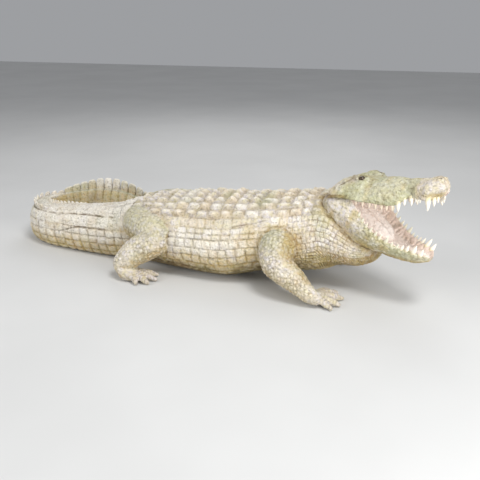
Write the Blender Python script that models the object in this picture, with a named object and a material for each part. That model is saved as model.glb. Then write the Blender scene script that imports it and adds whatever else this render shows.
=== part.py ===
"""A painted bronze crocodile, cast in one piece: it lies on its belly with its front half raised on
its forelegs, its mouth wide open and its tail curled round behind it.

Blender 4.5 script, metres, +Z up. +X runs along the trunk towards the head and +Y is the animal's
left. The origin is on the ground, under the middle of the statue's box.
"""

import math
from collections import defaultdict

import bmesh
import bpy
import numpy as np
from mathutils import Matrix, Vector

# Driving size: nose to the outside of the tail's bend.
LENGTH = 0.708

# The pose, proportions and carving below are millimetres on a statue of this length.
DRAWN_LENGTH = 708.0
MM = LENGTH / DRAWN_LENGTH

# From the trunk's middle, on the ground, to the middle of the statue's box.
CENTRE = (-70.9, 3.9)

# Scute rows: the neck's by their distance from the throat, then an even pitch to the hips.
NECK_ROWS = (0, 20, 40, 58, 76, 90, 104, 124, 148, 173.5)
SCUTE_PITCH = 19.5
TAIL_PITCH = 17.0
SCUTE_HEIGHT = 4.5
SCUTE_LEAN = 0.12

# Spines of the tail's double crest: where each row starts and stops, and its tallest height.
SPINES_FROM = 500
SPINE_PITCH = 17.0
OUTER_SPINES = (555, 690, 8.0)
INNER_SPINES = (500, 650, 5.0)

# Plates of the single crest. Their heights are part of a sine wave, given in half waves.
PLATE_PITCH = 15.5
PLATE_HEIGHT = 20.0
PLATE_WAVE = (0.12, 0.95)
CREST_LEAN = 0.2
CREST_TAPER = (0.8, 0.25)

# Body sections from the throat to the tail's tip: x, y, height of the middle, half width, half
# height, roundness above and below (2 is an ellipse), and how far down the side, as shares of the
# way from the spine to the belly's middle, the back's edge and the belly's edge lie.
BODY = (
    (196, -38, 64, 14, 13, 2.2, 2.2, 0.30, 0.72),
    (183, -30, 64, 31, 26, 2.2, 2.2, 0.30, 0.72),
    (160, -17, 72, 46, 41, 2.3, 2.2, 0.30, 0.72),
    (132, -8, 79, 56, 56, 2.4, 2.2, 0.30, 0.72),
    (104, -3, 74, 62, 56, 2.4, 2.2, 0.30, 0.72),
    (70, 0, 69, 70, 55, 2.4, 2.3, 0.30, 0.72),
    (30, 0, 65, 77, 54, 2.4, 2.4, 0.30, 0.72),
    (-28, 0, 56.5, 83, 58.5, 2.4, 2.5, 0.30, 0.72),
    (-86, 0, 54.5, 77, 56.5, 2.4, 2.5, 0.30, 0.72),
    (-136, 0, 51, 63, 53, 2.4, 2.5, 0.30, 0.72),
    (-180, 0, 45, 48, 47, 2.7, 2.6, 0.26, 0.76),
    (-226, 0, 40, 41, 42, 3.0, 2.7, 0.24, 0.80),
    (-272, 1, 37, 36, 39, 3.0, 2.7, 0.21, 0.82),
    (-318, 2, 35, 31, 37, 2.9, 2.7, 0.18, 0.84),
    (-358, 6, 33, 27, 35, 2.8, 2.6, 0.16, 0.85),
    (-392, 24, 32, 24, 34, 2.6, 2.5, 0.14, 0.86),
    (-405, 58, 32, 21, 33, 2.5, 2.5, 0.12, 0.87),
    (-390, 92, 32, 18, 33, 2.4, 2.5, 0.09, 0.88),
    (-355, 110, 34, 15.5, 35, 2.3, 2.5, 0.07, 0.88),
    (-312, 117, 36, 13.5, 37, 2.2, 2.5, 0.07, 0.88),
    (-270, 117, 33.5, 12, 34.5, 2.2, 2.5, 0.07, 0.88),
    (-232, 112, 28, 10, 29, 2.2, 2.4, 0.07, 0.88),
    (-198, 104, 21, 8, 22, 2.1, 2.3, 0.08, 0.88),
    (-168, 95, 15, 6, 16, 2.1, 2.2, 0.09, 0.88),
    (-145, 88, 9, 3.5, 9, 2.0, 2.0, 0.10, 0.88),
)

# Sections, counted from the throat, where the trunk ends and where the two crests become one.
HIP_SECTION = 10
CRESTS_JOIN_SECTION = 17

# Frames of the two jaws: hinge point, and angle above the horizon. Both turn the same way.
HEAD_TURN = -28.0
SKULL_AT = (150, -12, 128)
SKULL_PITCH = 10.0
JAW_AT = (150, -12, 136)
JAW_PITCH = -27.0

# Skull sections: distance from the hinge, crown height, then half width and height of the skull
# table's edge, the cheek and the lip, and the palate's height.
SKULL = (
    (-24, 18, 10, 12, 20, 4, 20, -6, -8),
    (-10, 25, 18, 20, 34, 12, 36, 2, -2),
    (2, 31, 23, 28, 42, 18, 43, 10, 3),
    (14, 34, 24, 34, 43, 20, 44, 11, 8),
    (28, 35, 23, 35, 41, 19, 43, 10, 12),
    (42, 34, 19, 33, 37, 18, 41, 7, 12),
    (55, 32, 15, 30, 33, 17, 37, 4, 12),
    (70, 33, 14, 30, 30, 16, 33, 2, 11),
    (82, 33, 13, 29, 27, 15, 30, 0, 10),
    (92, 32, 12, 28, 23, 14, 27, 0, 10),
    (100, 31, 10, 27, 18, 14, 21, 4, 10),
    (107, 31, 9, 27, 16, 15, 17, 8, 12),
    (117, 31, 10, 27, 18, 16, 18, 8, 12),
    (131, 32, 11, 28, 21, 17, 20, 6.5, 10),
    (138, 33.5, 11, 30, 20, 18, 15, 6, 10),
    (143, 33.5, 10, 30, 17, 18.5, 9, 6, 10),
    (148, 32.5, 9, 29, 13, 19, 6, 9, 12),
    (152.5, 28, 5, 26, 8, 20, 4, 13, 14.5),
    (154.5, 24, 2.5, 23, 4, 20, 2.5, 16.5, 17.5),
)

# Lower jaw sections: distance from the hinge, then half width and height of the mouth's floor, the
# gum's inner edge, the outer cheek and the keel.
JAW = (
    (-20, 8, -12, 14, -8, 22, -16, 12, -24),
    (-8, 22, -6, 33, 2, 42, -12, 26, -34),
    (4, 26, 0, 37, 14, 47, -8, 30, -38),
    (20, 28, -2, 38, 20, 46, -8, 31, -41),
    (34, 28, -6, 38, 17, 44, -9, 29, -41),
    (46, 27, -9, 36, 11, 41, -10, 27, -40),
    (58, 26, -11, 34, 4, 38, -12, 24, -38),
    (70, 24, -12, 32, 1, 35, -12, 21, -35),
    (85, 22, -12, 29, 0, 32, -11, 18, -30),
    (100, 18, -10, 25, 1, 28, -9, 15, -25),
    (113, 14, -7, 21, 4, 24, -6, 13, -20),
    (125, 11, -3, 17, 8, 21, -1, 12, -14),
    (136, 9, 3, 15, 11, 18, 4, 10, -8),
    (143, 6, 6, 10, 12, 12, 6, 7, -2),
    (148, 2, 6, 4, 11, 5, 8, 3, 3),
)

# Tongue sections in the lower jaw's frame: distance from the hinge, half width, top, bottom.
TONGUE = (
    (2, 18, 6, -8), (20, 22, 5, -12), (40, 21, 4, -16), (60, 19, 3, -16), (76, 15, 1, -15),
    (86, 9, -3, -14), (91, 3, -7, -12),
)

# Brows, on the skull: distance from the hinge, half the distance between them, height, half sizes.
BROW_AT = (39, 18, 33)
BROW_SIZE = (14, 7, 6.5)

# Teeth: distance from the hinge and length. Each stands on the lip, on both sides.
UPPER_TEETH = (
    (40, 6), (49, 7), (58, 7), (66, 8), (74, 8), (81, 8), (88, 8), (95, 11), (102, 7), (111, 10),
    (118, 5), (124, 5), (134, 14), (140, 9), (143.5, 5),
)
LOWER_TEETH = (
    (46, 5), (54, 5), (62, 5), (70, 6), (78, 6), (85, 7), (94, 9), (102, 5), (109, 5),
    (115, 6), (121, 8), (129, 12), (138, 10),
)
TOOTH_SLENDERNESS = 0.24
TOOTH_SINK = 3.5
TOOTH_SIDES = 5
TOOTH_TIP = 0.3
TOOTH_LEAN = (0.12, 0.14)

# Where the roots stand, as shares of the half width of the upper lip and of the lower gum.
UPPER_ROOTS = 0.88
LOWER_ROOTS = 1.05

# Limbs on the right side, from inside the body outwards: x, y, height, half width, half height.
FORELEG = (
    (58, -30, 71, 20, 20),
    (60, -50, 70, 25, 25),
    (61, -66, 66, 27, 27),
    (63, -80, 57, 24.5, 24.5),
    (67, -90, 48, 21.5, 21.5),
    (81, -97, 40, 19, 19),
    (95, -101, 32, 16.5, 16.5),
    (106, -104, 24, 14, 13.5),
    (117, -105, 15, 13.5, 11.5),
    (130, -102, 9, 14, 8.5),
)
THIGH = (
    (-188, -14, 64, 22, 22),
    (-173, -32, 67, 28, 28),
    (-151, -48, 66, 30, 29),
    (-124, -61, 61, 28.5, 27),
    (-103, -68, 57, 20, 20),
)
SHANK = (
    (-108, -73, 58, 12, 12),
    (-124, -77, 55, 20, 20),
    (-143, -85, 46, 21.5, 21.5),
    (-159, -93, 34, 19, 19),
    (-169, -98, 20, 16.5, 16.5),
    (-163, -100, 11, 16, 11.5),
    (-148, -100, 8, 16, 8.5),
)
FAR_THIGH_LIFT = 14.0

# Toes on the right side: tips on the ground, from the inner toe outwards.
FOREFOOT_AT = (122, -102, 10)
FORE_TOES = ((136, -52), (149, -57), (160, -75), (160, -99), (151, -115))
HINDFOOT_AT = (-156, -100, 9)
HIND_TOES = ((-122, -78), (-115, -97), (-121, -114), (-138, -121))
TOE_RADII = (7.0, 6.2, 5.4, 4.8, 2.4)

# How finely the joined shapes are faceted: cells along and around.
SKULL_GRID = (18, 20)
JAW_GRID = (14, 20)
TONGUE_GRID = (7, 10)
BROW_GRID = (4, 8)
FORELEG_GRID = (10, 10)
HINDLEG_GRID = (7, 10)
TOE_GRID = (4, 6)

# The sides of the cube that flattens the underside, as a share of the statue's length.
UNDERSIDE_SHARE = 1.3


def curve_through(points, t, closed=False):
    """Rows of a smooth curve through the given rows, read at t, which counts rows."""
    points = np.asarray(points, float)
    count = len(points)
    first = np.floor(t).astype(int)
    if not closed:
        first = np.clip(first, 0, count - 2)
    f = (t - first)[:, None]

    def row(offset):
        if closed:
            return points[(first + offset) % count]
        return points[np.clip(first + offset, 0, count - 1)]

    a, b, c, d = (row(k) for k in (-1, 0, 1, 2))
    return 0.5 * (2 * b + (c - a) * f + (2 * a - 5 * b + 4 * c - d) * f**2 + (3 * b - 3 * c + d - a) * f**3)


def unit(vectors):
    return vectors / np.maximum(np.linalg.norm(vectors, axis=-1, keepdims=True), 1e-9)


class Loft:
    """A skin through closed sections, read at (along, around). Along is in millimetres down its
    middle, and around goes from 0 to 1."""

    def __init__(self, sections, rows=320, columns=128):
        sections = np.array(sections, float)
        count, points = sections.shape[:2]
        fine = np.linspace(0, count - 1, 8 * rows)
        middle = curve_through(sections.mean(axis=1), fine)
        run = np.concatenate([[0], np.cumsum(np.linalg.norm(np.diff(middle, axis=0), axis=1))])
        self.length = run[-1]
        t = np.interp(np.linspace(0, self.length, rows), run, fine)
        self.station_at = np.interp(np.arange(count), fine, run)
        ribs = curve_through(sections.reshape(count, -1), t).reshape(rows, points, 3)
        u = np.linspace(0, points, columns, endpoint=False)
        grid = curve_through(ribs.transpose(1, 0, 2).reshape(points, -1), u, closed=True)
        self.grid = grid.reshape(columns, rows, 3).transpose(1, 0, 2)
        along = np.gradient(self.grid, axis=0)
        around = np.roll(self.grid, -1, axis=1) - np.roll(self.grid, 1, axis=1)
        self.normals = unit(np.cross(around, along))

    def read(self, grid, along, around):
        rows, columns = grid.shape[:2]
        i = np.clip(np.asarray(along, float) / self.length, 0, 1) * (rows - 1)
        j = np.asarray(around, float) % 1 * columns
        i0 = np.minimum(i.astype(int), rows - 2)
        j0 = j.astype(int) % columns
        j1 = (j0 + 1) % columns
        fi = (i - i0)[:, None]
        fj = (j - np.floor(j))[:, None]
        low = grid[i0, j0] * (1 - fj) + grid[i0, j1] * fj
        high = grid[i0 + 1, j0] * (1 - fj) + grid[i0 + 1, j1] * fj
        return low * (1 - fi) + high * fi

    def at(self, along, around, height=0.0):
        """Points on the skin, raised by height along its normals."""
        normals = unit(self.read(self.normals, along, around))
        return self.read(self.grid, along, around) + normals * np.reshape(height, (-1, 1))


def oval(half_width, half_height, above, below, points=32):
    """A rounded section as (side, up) pairs at equal steps, from the top round by the left."""
    angle = np.linspace(0, 2 * math.pi, 721)
    power = np.where(np.cos(angle) >= 0, 2 / above, 2 / below)
    side = half_width * np.sign(np.sin(angle)) * np.abs(np.sin(angle)) ** power
    up = half_height * np.sign(np.cos(angle)) * np.abs(np.cos(angle)) ** power
    run = np.concatenate([[0], np.cumsum(np.hypot(np.diff(side), np.diff(up)))])
    even = np.linspace(0, run[-1], points, endpoint=False)
    return np.stack([np.interp(even, run, side), np.interp(even, run, up)], axis=1)


def body_loft():
    table = np.array(BODY, float)
    middles = table[:, :3]
    tangents = unit(np.gradient(middles, axis=0))
    left = unit(np.cross(tangents, [0, 0, 1]))
    up = np.cross(left, tangents)
    sections = []
    for row, middle, l, u in zip(table, middles, left, up):
        ring = oval(*row[3:7])
        sections.append(middle + ring[:, :1] * l + ring[:, 1:] * u)
    return Loft(sections)


class BodySkin:
    """The body's skin by (along, band): band 0 is the spine, 1 the back's edge, 2 the belly's edge
    and 3 the belly's middle. It is positive on the left side and negative on the right."""

    def __init__(self):
        self.loft = body_loft()
        self.length = self.loft.length
        self.back_edge = np.array(BODY)[:, 7] / 2
        self.belly_edge = np.array(BODY)[:, 8] / 2

    def at(self, along, band, height=0.0):
        along = np.asarray(along, float)
        band = np.asarray(band, float)
        back = np.interp(along, self.loft.station_at, self.back_edge)
        belly = np.interp(along, self.loft.station_at, self.belly_edge)
        size = np.abs(band)
        around = np.where(size < 1, size * back, back + (size - 1) * (belly - back))
        around = np.where(size > 2, belly + (size - 2) * (0.5 - belly), around)
        return self.loft.at(along, np.where(band < 0, 1 - around, around), height)


def tube_sections(path, points=12):
    """Oval sections along a path of (x, y, z, half width, half height). They are level at its far
    end, where a foot is, and turn as little as possible on the way there."""
    table = np.array(path, float)
    middles = table[:, :3]
    tangents = unit(np.gradient(middles, axis=0))
    up = np.array([0.0, 0.0, 1.0])
    sections = []
    for k in reversed(range(len(table))):
        up = unit(up - tangents[k] * (up @ tangents[k]))
        side = np.cross(tangents[k], up)
        ring = oval(table[k, 3], table[k, 4], 2, 2, points)
        sections.append(middles[k] + ring[:, :1] * side + ring[:, 1:] * up)
    return sections[::-1]


def frame_of(at, pitch):
    """A jaw's frame: x forward, y to the left, z up."""
    turn = Matrix.Rotation(math.radians(HEAD_TURN), 4, "Z") @ Matrix.Rotation(math.radians(-pitch), 4, "Y")
    return Matrix.Translation(Vector(at)) @ turn


def placed(sections, frame):
    matrix = np.array(frame)
    return [np.asarray(s) @ matrix[:3, :3].T + matrix[:3, 3] for s in sections]


def mirrored_section(distance, half):
    """A closed section from its left half, given as (side, up) pairs from the top to the bottom.
    The first and last pairs lie in the middle plane."""
    right = [(-side, up) for side, up in half[-2:0:-1]]
    return [(distance, side, up) for side, up in [*half, *right]]


def skull_sections():
    sections = []
    for at, crown, top_w, top_z, cheek_w, cheek_z, lip_w, lip_z, palate in SKULL:
        half = [
            (0, crown),
            (top_w * 0.55, (crown + top_z) / 2 + 0.5),
            (top_w, top_z),
            ((top_w + cheek_w) / 2 + 1, (top_z + cheek_z) / 2 + 2),
            (cheek_w, cheek_z),
            (lip_w, (cheek_z + lip_z) / 2),
            (lip_w, lip_z + 1.5),
            (lip_w * 0.93, lip_z),
            (lip_w * 0.8, lip_z + (palate - lip_z) * 0.3),
            (lip_w * 0.62, palate),
            (0, palate + 1),
        ]
        sections.append(mirrored_section(at, half))
    return placed(reversed(sections), frame_of(SKULL_AT, SKULL_PITCH))


def jaw_sections():
    sections = []
    for at, floor_w, floor_z, gum_w, gum_z, cheek_w, cheek_z, keel_w, keel_z in JAW:
        half = [
            (0, floor_z),
            (floor_w * 0.6, floor_z),
            (floor_w, floor_z + (gum_z - floor_z) * 0.35),
            (gum_w, gum_z),
            ((gum_w + cheek_w) / 2, gum_z - 1),
            (cheek_w, (gum_z + cheek_z) / 2),
            (cheek_w, cheek_z),
            ((cheek_w + keel_w) / 2 + 2, (cheek_z + keel_z) / 2),
            (keel_w, keel_z + 1),
            (0, keel_z),
        ]
        sections.append(mirrored_section(at, half))
    return placed(reversed(sections), frame_of(JAW_AT, JAW_PITCH))


def tongue_sections():
    sections = []
    for at, width, top, bottom in TONGUE:
        half = [
            (0, top - 1.5),
            (width * 0.5, top),
            (width, (top + bottom) / 2),
            (width * 0.6, bottom),
            (0, bottom),
        ]
        sections.append(mirrored_section(at, half))
    return placed(reversed(sections), frame_of(JAW_AT, JAW_PITCH))


def grid_object(name, loft, rows, columns):
    """A closed mesh on a loft, with rows along it and a fan over each end."""
    steps = np.linspace(0, loft.length, rows + 1)
    along, around = np.meshgrid(steps, np.arange(columns) / columns, indexing="ij")
    points = loft.at(along.ravel(), around.ravel()) * MM
    bm = bmesh.new()
    verts = [bm.verts.new(p) for p in points]
    for i in range(rows):
        for j in range(columns):
            k = (j + 1) % columns
            bm.faces.new([verts[r * columns + c] for r, c in ((i, j), (i, k), (i + 1, k), (i + 1, j))])
    close_ends(bm)
    return finished_object(name, bm)


def close_ends(bm):
    """Fills the open rings at the two ends, each with a fan round its middle."""
    open_edges = [e for e in bm.edges if e.is_boundary]
    caps = bmesh.ops.holes_fill(bm, edges=open_edges, sides=0)["faces"]
    bmesh.ops.poke(bm, faces=caps)


def finished_object(name, bm):
    bmesh.ops.triangulate(bm, faces=bm.faces[:])
    bmesh.ops.recalc_face_normals(bm, faces=bm.faces[:])
    mesh = bpy.data.meshes.new(name)
    bm.to_mesh(mesh)
    bm.free()
    return bpy.data.objects.new(name, mesh)


def even_rows(start, stop, pitch):
    return np.linspace(start, stop, round((stop - start) / pitch) + 1)


def spine_height(along, spines):
    start, stop, tallest = spines
    share = (along - start) / (stop - start)
    return tallest * math.sin(math.pi * share) if 0 < share < 1 else 0


def plate_height(share):
    """A crest plate's height, from its share of the way along the crest."""
    first, last = PLATE_WAVE
    return PLATE_HEIGHT * math.sin(math.pi * min(first + share, last))


def body_rects():
    """The body's scute cells as (from, to, low band, high band, height, is_crest). Heights are
    millimetres, and 0 leaves a cell flat."""
    hip_at = BODY_SKIN.loft.station_at[HIP_SECTION]
    join_at = BODY_SKIN.loft.station_at[CRESTS_JOIN_SECTION]
    rects = []

    def both_sides(a, b, low, high, height=0.0):
        rects.append((a, b, low, high, height, False))
        rects.append((a, b, -high, -low, height, False))

    trunk_rows = [*NECK_ROWS[:-1], *even_rows(NECK_ROWS[-1], hip_at, SCUTE_PITCH)]
    for a, b in zip(trunk_rows[:-1], trunk_rows[1:]):
        for k in range(4):
            both_sides(a, b, k / 4, (k + 1) / 4, SCUTE_HEIGHT)
            both_sides(a, b, 1 + k / 4, 1 + (k + 1) / 4)
        both_sides(a, b, 2, 2.5)
        both_sides(a, b, 2.5, 3)

    plain_rows = even_rows(hip_at, SPINES_FROM, TAIL_PITCH)
    for a, b in zip(plain_rows[:-1], plain_rows[1:]):
        both_sides(a, b, 0, 0.8, SCUTE_HEIGHT / 2)
        both_sides(a, b, 0.8, 1.15)
    spine_rows = even_rows(SPINES_FROM, join_at, SPINE_PITCH)
    for a, b in zip(spine_rows[:-1], spine_rows[1:]):
        both_sides(a, b, 0, 0.8)
        inner = spine_height((a + b) / 2, INNER_SPINES)
        outer = spine_height((a + b) / 2, OUTER_SPINES)
        rects.append((a, b, 0.8, 1.15, inner, inner > 0))
        rects.append((a, b, -1.15, -0.8, outer, outer > 0))
    for a, b in [*zip(plain_rows[:-1], plain_rows[1:]), *zip(spine_rows[:-1], spine_rows[1:])]:
        for low, high in ((1.15, 1.55), (1.55, 2), (2, 3)):
            both_sides(a, b, low, high)

    plate_rows = even_rows(join_at, BODY_SKIN.length, PLATE_PITCH)
    for k, (a, b) in enumerate(zip(plate_rows[:-1], plate_rows[1:])):
        height = plate_height((k + 0.5) / (len(plate_rows) - 1))
        rects.append((a, b, -0.8, 0.8, height, True))
        for low, high in ((0.8, 1.5), (1.5, 2), (2, 3)):
            both_sides(a, b, low, high)
    return rects


def with_neighbours_corners(rects):
    """Each cell's outline as (along, band) pairs. It takes in its neighbours' corners that lie on
    its edges, so that the cells close up where their pitch changes."""
    on_ring, on_line = defaultdict(set), defaultdict(set)
    rects = [tuple(round(float(v), 5) for v in r[:4]) + tuple(r[4:]) for r in rects]
    for a, b, low, high, *_ in rects:
        for s in (a, b):
            on_ring[s].update((low, high))
        for w in (low, high):
            on_line[w].update((a, b))
    for a, b, low, high, *rest in rects:
        ring = [(a, w) for w in sorted(on_ring[a]) if low <= w < high]
        ring += [(s, high) for s in sorted(on_line[high]) if a <= s < b]
        ring += [(b, w) for w in sorted(on_ring[b], reverse=True) if low < w <= high]
        ring += [(s, low) for s in sorted(on_line[low], reverse=True) if a < s <= b]
        yield ring, rest


def body_object():
    """The trunk and tail. A scute is a low pyramid on its cell, and a crest scute a leaning blade
    that rises halfway between straight up and straight out of the skin."""
    bm = bmesh.new()
    shared = {}

    def corner(s, w):
        key = (s, 3.0 if w == -3.0 else w)
        if key not in shared:
            shared[key] = bm.verts.new(BODY_SKIN.at([s], [w])[0] * MM)
        return shared[key]

    for ring, (height, crest) in with_neighbours_corners(body_rects()):
        verts = [corner(s, w) for s, w in ring]
        if not height:
            bm.faces.new(verts)
            continue
        ring = np.array(ring)
        middle = (ring.min(axis=0) + ring.max(axis=0)) / 2
        if not crest:
            middle[0] += SCUTE_LEAN * (ring[:, 0].max() - ring[:, 0].min())
            fan(bm, verts, bm.verts.new(BODY_SKIN.at([middle[0]], [middle[1]], height)[0] * MM))
            continue
        inner = middle + (ring - middle) * CREST_TAPER
        inner[:, 0] += CREST_LEAN * height
        raised = BODY_SKIN.at(inner[:, 0], inner[:, 1], height / 2)
        tips = [bm.verts.new(p * MM) for p in raised + (0, 0, height / 2)]
        for k in range(len(verts)):
            nxt = (k + 1) % len(verts)
            bm.faces.new([verts[k], verts[nxt], tips[nxt], tips[k]])
        bm.faces.new(tips)
    close_ends(bm)
    return finished_object("body", bm)


def fan(bm, verts, tip):
    for k, vert in enumerate(verts):
        bm.faces.new([vert, verts[(k + 1) % len(verts)], tip])


def side_of(path, side):
    """A right-hand limb's path, or its mirror image for the left side."""
    return [(x, -y * side, *rest) for x, y, *rest in path]


def limb_objects(side):
    """A foreleg and a hind leg with their toes. Side is -1 for the right and 1 for the left."""
    name = "left" if side > 0 else "right"
    lift = FAR_THIGH_LIFT if side > 0 else 0.0
    thigh = [(x, y, z + lift * k / (len(THIGH) - 1), *r) for k, (x, y, z, *r) in enumerate(THIGH)]
    shank = [(x, y, z + lift * max(0, 1 - k / 3), *r) for k, (x, y, z, *r) in enumerate(SHANK)]
    made = []
    limbs = (
        ("foreleg", FORELEG, FORELEG_GRID),
        ("thigh", thigh, HINDLEG_GRID),
        ("shank", shank, HINDLEG_GRID),
    )
    for limb, path, grid in limbs:
        loft = Loft(tube_sections(side_of(path, side)), rows=96, columns=48)
        made.append(grid_object(f"{name}_{limb}", loft, *grid))
    for foot, start, tips in (("fore", FOREFOOT_AT, FORE_TOES), ("hind", HINDFOOT_AT, HIND_TOES)):
        for k, tip in enumerate(tips):
            loft = Loft(tube_sections(side_of(toe_path(start, tip), side), 8), rows=40, columns=24)
            made.append(grid_object(f"{name}_{foot}_toe_{k}", loft, *TOE_GRID))
    return made


def toe_path(start, tip):
    """A toe from the palm to its claw's tip: it arches a little and comes down to the ground."""
    sx, sy, sz = start
    path = []
    for k, radius in enumerate(TOE_RADII):
        share = k / (len(TOE_RADII) - 1)
        height = sz * (1 - share) + 1.6 * share + 3.5 * math.sin(math.pi * share)
        x = sx + (tip[0] - sx) * share
        y = sy + (tip[1] - sy) * share
        path.append((x, y, max(height, radius), radius, radius))
    return path


def tooth_objects():
    """Cones that stand on the gums, a pair for each place in the tables."""
    made = []
    tables = (
        (UPPER_TEETH, SKULL, 6, 7, UPPER_ROOTS, frame_of(SKULL_AT, SKULL_PITCH), -1),
        (LOWER_TEETH, JAW, 3, 4, LOWER_ROOTS, frame_of(JAW_AT, JAW_PITCH), 1),
    )
    for teeth, sections, width_at, height_at, roots, frame, up in tables:
        rows = np.array(sections, float)
        for at, length in teeth:
            across = np.interp(at, rows[:, 0], rows[:, width_at]) * roots
            level = np.interp(at, rows[:, 0], rows[:, height_at])
            for side in (-1, 1):
                root = Vector((at, side * across, level - up * TOOTH_SINK))
                lean = Vector((TOOTH_LEAN[0], side * TOOTH_LEAN[1], up)).normalized()
                whole = length + TOOTH_SINK
                made.append(cone(f"tooth_{len(made)}", frame @ root, frame.to_3x3() @ lean, whole))
    return made


def cone(name, root, direction, length):
    bm = bmesh.new()
    turn = direction.to_track_quat("Z", "Y").to_matrix().to_4x4()
    place = Matrix.Translation(root + direction * length / 2) @ turn
    bmesh.ops.create_cone(
        bm,
        cap_ends=True,
        segments=TOOTH_SIDES,
        radius1=length * TOOTH_SLENDERNESS,
        radius2=TOOTH_TIP,
        depth=length,
        matrix=Matrix.Scale(MM, 4) @ place,
    )
    return finished_object(name, bm)


def brow_objects():
    frame = frame_of(SKULL_AT, SKULL_PITCH)
    made = []
    for side in (-1, 1):
        bm = bmesh.new()
        at = Matrix.Translation((BROW_AT[0], side * BROW_AT[1], BROW_AT[2]))
        shape = Matrix.Diagonal((*BROW_SIZE, 1))
        place = Matrix.Scale(MM, 4) @ frame @ at @ shape
        rows, columns = BROW_GRID
        bmesh.ops.create_uvsphere(bm, u_segments=columns, v_segments=rows, radius=1, matrix=place)
        made.append(finished_object(f"brow_{side}", bm))
    return made


def underside_box():
    """A cube whose top is the ground."""
    bm = bmesh.new()
    side = UNDERSIDE_SHARE * DRAWN_LENGTH
    place = Matrix.Scale(MM, 4) @ Matrix.Translation((*CENTRE, -side / 2))
    bmesh.ops.create_cube(bm, size=side, matrix=place)
    box = finished_object("underside", bm)
    box.hide_render = True
    box.display_type = "WIRE"
    return box


def bronze():
    material = bpy.data.materials.new("painted_bronze")
    material.use_nodes = True
    shader = material.node_tree.nodes["Principled BSDF"]
    shader.inputs["Base Color"].default_value = (0.50, 0.47, 0.33, 1)
    shader.inputs["Roughness"].default_value = 0.55
    shader.inputs["Metallic"].default_value = 0.0
    return material


def clear_scene():
    for obj in list(bpy.data.objects):
        bpy.data.objects.remove(obj)


def main():
    clear_scene()
    shown = bpy.data.collections.new("crocodile_statue")
    helpers = bpy.data.collections.new("joined_shapes")
    helpers_below = bpy.data.collections.new("cutters")
    helpers.hide_render = helpers_below.hide_render = True
    for collection in (shown, helpers, helpers_below):
        bpy.context.scene.collection.children.link(collection)

    skull = grid_object("skull", Loft(skull_sections()), *SKULL_GRID)
    jaw = grid_object("jaw", Loft(jaw_sections()), *JAW_GRID)
    tongue = grid_object("tongue", Loft(tongue_sections(), rows=80), *TONGUE_GRID)
    others = [skull, jaw, tongue, *brow_objects(), *tooth_objects()]
    for side in (-1, 1):
        others += limb_objects(side)
    for obj in others:
        helpers.objects.link(obj)
        obj.hide_render = True
        obj.display_type = "WIRE"

    crocodile = body_object()
    crocodile.name = "crocodile"
    crocodile.data.materials.append(bronze())
    shown.objects.link(crocodile)
    join = crocodile.modifiers.new("cast_in_one", "BOOLEAN")
    join.operation = "UNION"
    join.operand_type = "COLLECTION"
    join.collection = helpers
    underside = underside_box()
    helpers_below.objects.link(underside)
    flatten = crocodile.modifiers.new("flat_underside", "BOOLEAN")
    flatten.operation = "DIFFERENCE"
    flatten.object = underside
    for obj in (crocodile, underside, *others):
        obj.location = (-CENTRE[0] * MM, -CENTRE[1] * MM, 0)


BODY_SKIN = BodySkin()
main()
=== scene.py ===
"""Looks of the painted bronze crocodile: carved scales, crests, teeth and a pale patina over the CAD."""

import itertools
import math

import bmesh
import bpy
import numpy as np
from mathutils import Matrix, Vector
from mathutils.kdtree import KDTree


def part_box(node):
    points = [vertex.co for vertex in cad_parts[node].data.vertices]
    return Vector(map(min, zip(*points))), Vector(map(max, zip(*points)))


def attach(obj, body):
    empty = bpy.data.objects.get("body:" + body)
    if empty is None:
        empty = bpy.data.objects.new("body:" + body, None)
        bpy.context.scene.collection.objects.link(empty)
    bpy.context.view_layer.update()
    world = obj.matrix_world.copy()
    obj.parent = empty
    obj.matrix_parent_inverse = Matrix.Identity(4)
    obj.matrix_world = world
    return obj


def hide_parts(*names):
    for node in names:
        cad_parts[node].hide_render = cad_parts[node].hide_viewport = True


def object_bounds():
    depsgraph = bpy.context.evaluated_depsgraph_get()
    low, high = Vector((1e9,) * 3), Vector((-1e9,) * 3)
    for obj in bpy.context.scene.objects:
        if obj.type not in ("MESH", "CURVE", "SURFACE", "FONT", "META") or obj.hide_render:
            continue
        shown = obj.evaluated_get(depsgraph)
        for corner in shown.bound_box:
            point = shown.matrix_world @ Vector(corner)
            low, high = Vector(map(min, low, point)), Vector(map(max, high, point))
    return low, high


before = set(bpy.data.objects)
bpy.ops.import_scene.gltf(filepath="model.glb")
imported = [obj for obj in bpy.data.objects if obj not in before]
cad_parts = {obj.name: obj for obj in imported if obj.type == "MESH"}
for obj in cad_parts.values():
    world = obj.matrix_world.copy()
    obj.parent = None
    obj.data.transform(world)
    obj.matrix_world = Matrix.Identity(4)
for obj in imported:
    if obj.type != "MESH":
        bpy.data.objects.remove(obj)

CAD_BOX = [list(corner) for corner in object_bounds()]
NODE = "crocodile"

# The tables are millimetres on a statue of this length, measured from the trunk's middle on the
# ground. CENTRE is the middle of the statue's box there.
DRAWN_LENGTH = 708.0
MM = (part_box(NODE)[1][0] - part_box(NODE)[0][0]) / DRAWN_LENGTH
CENTRE = np.array([-70.9, 3.9, 0.0])

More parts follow.
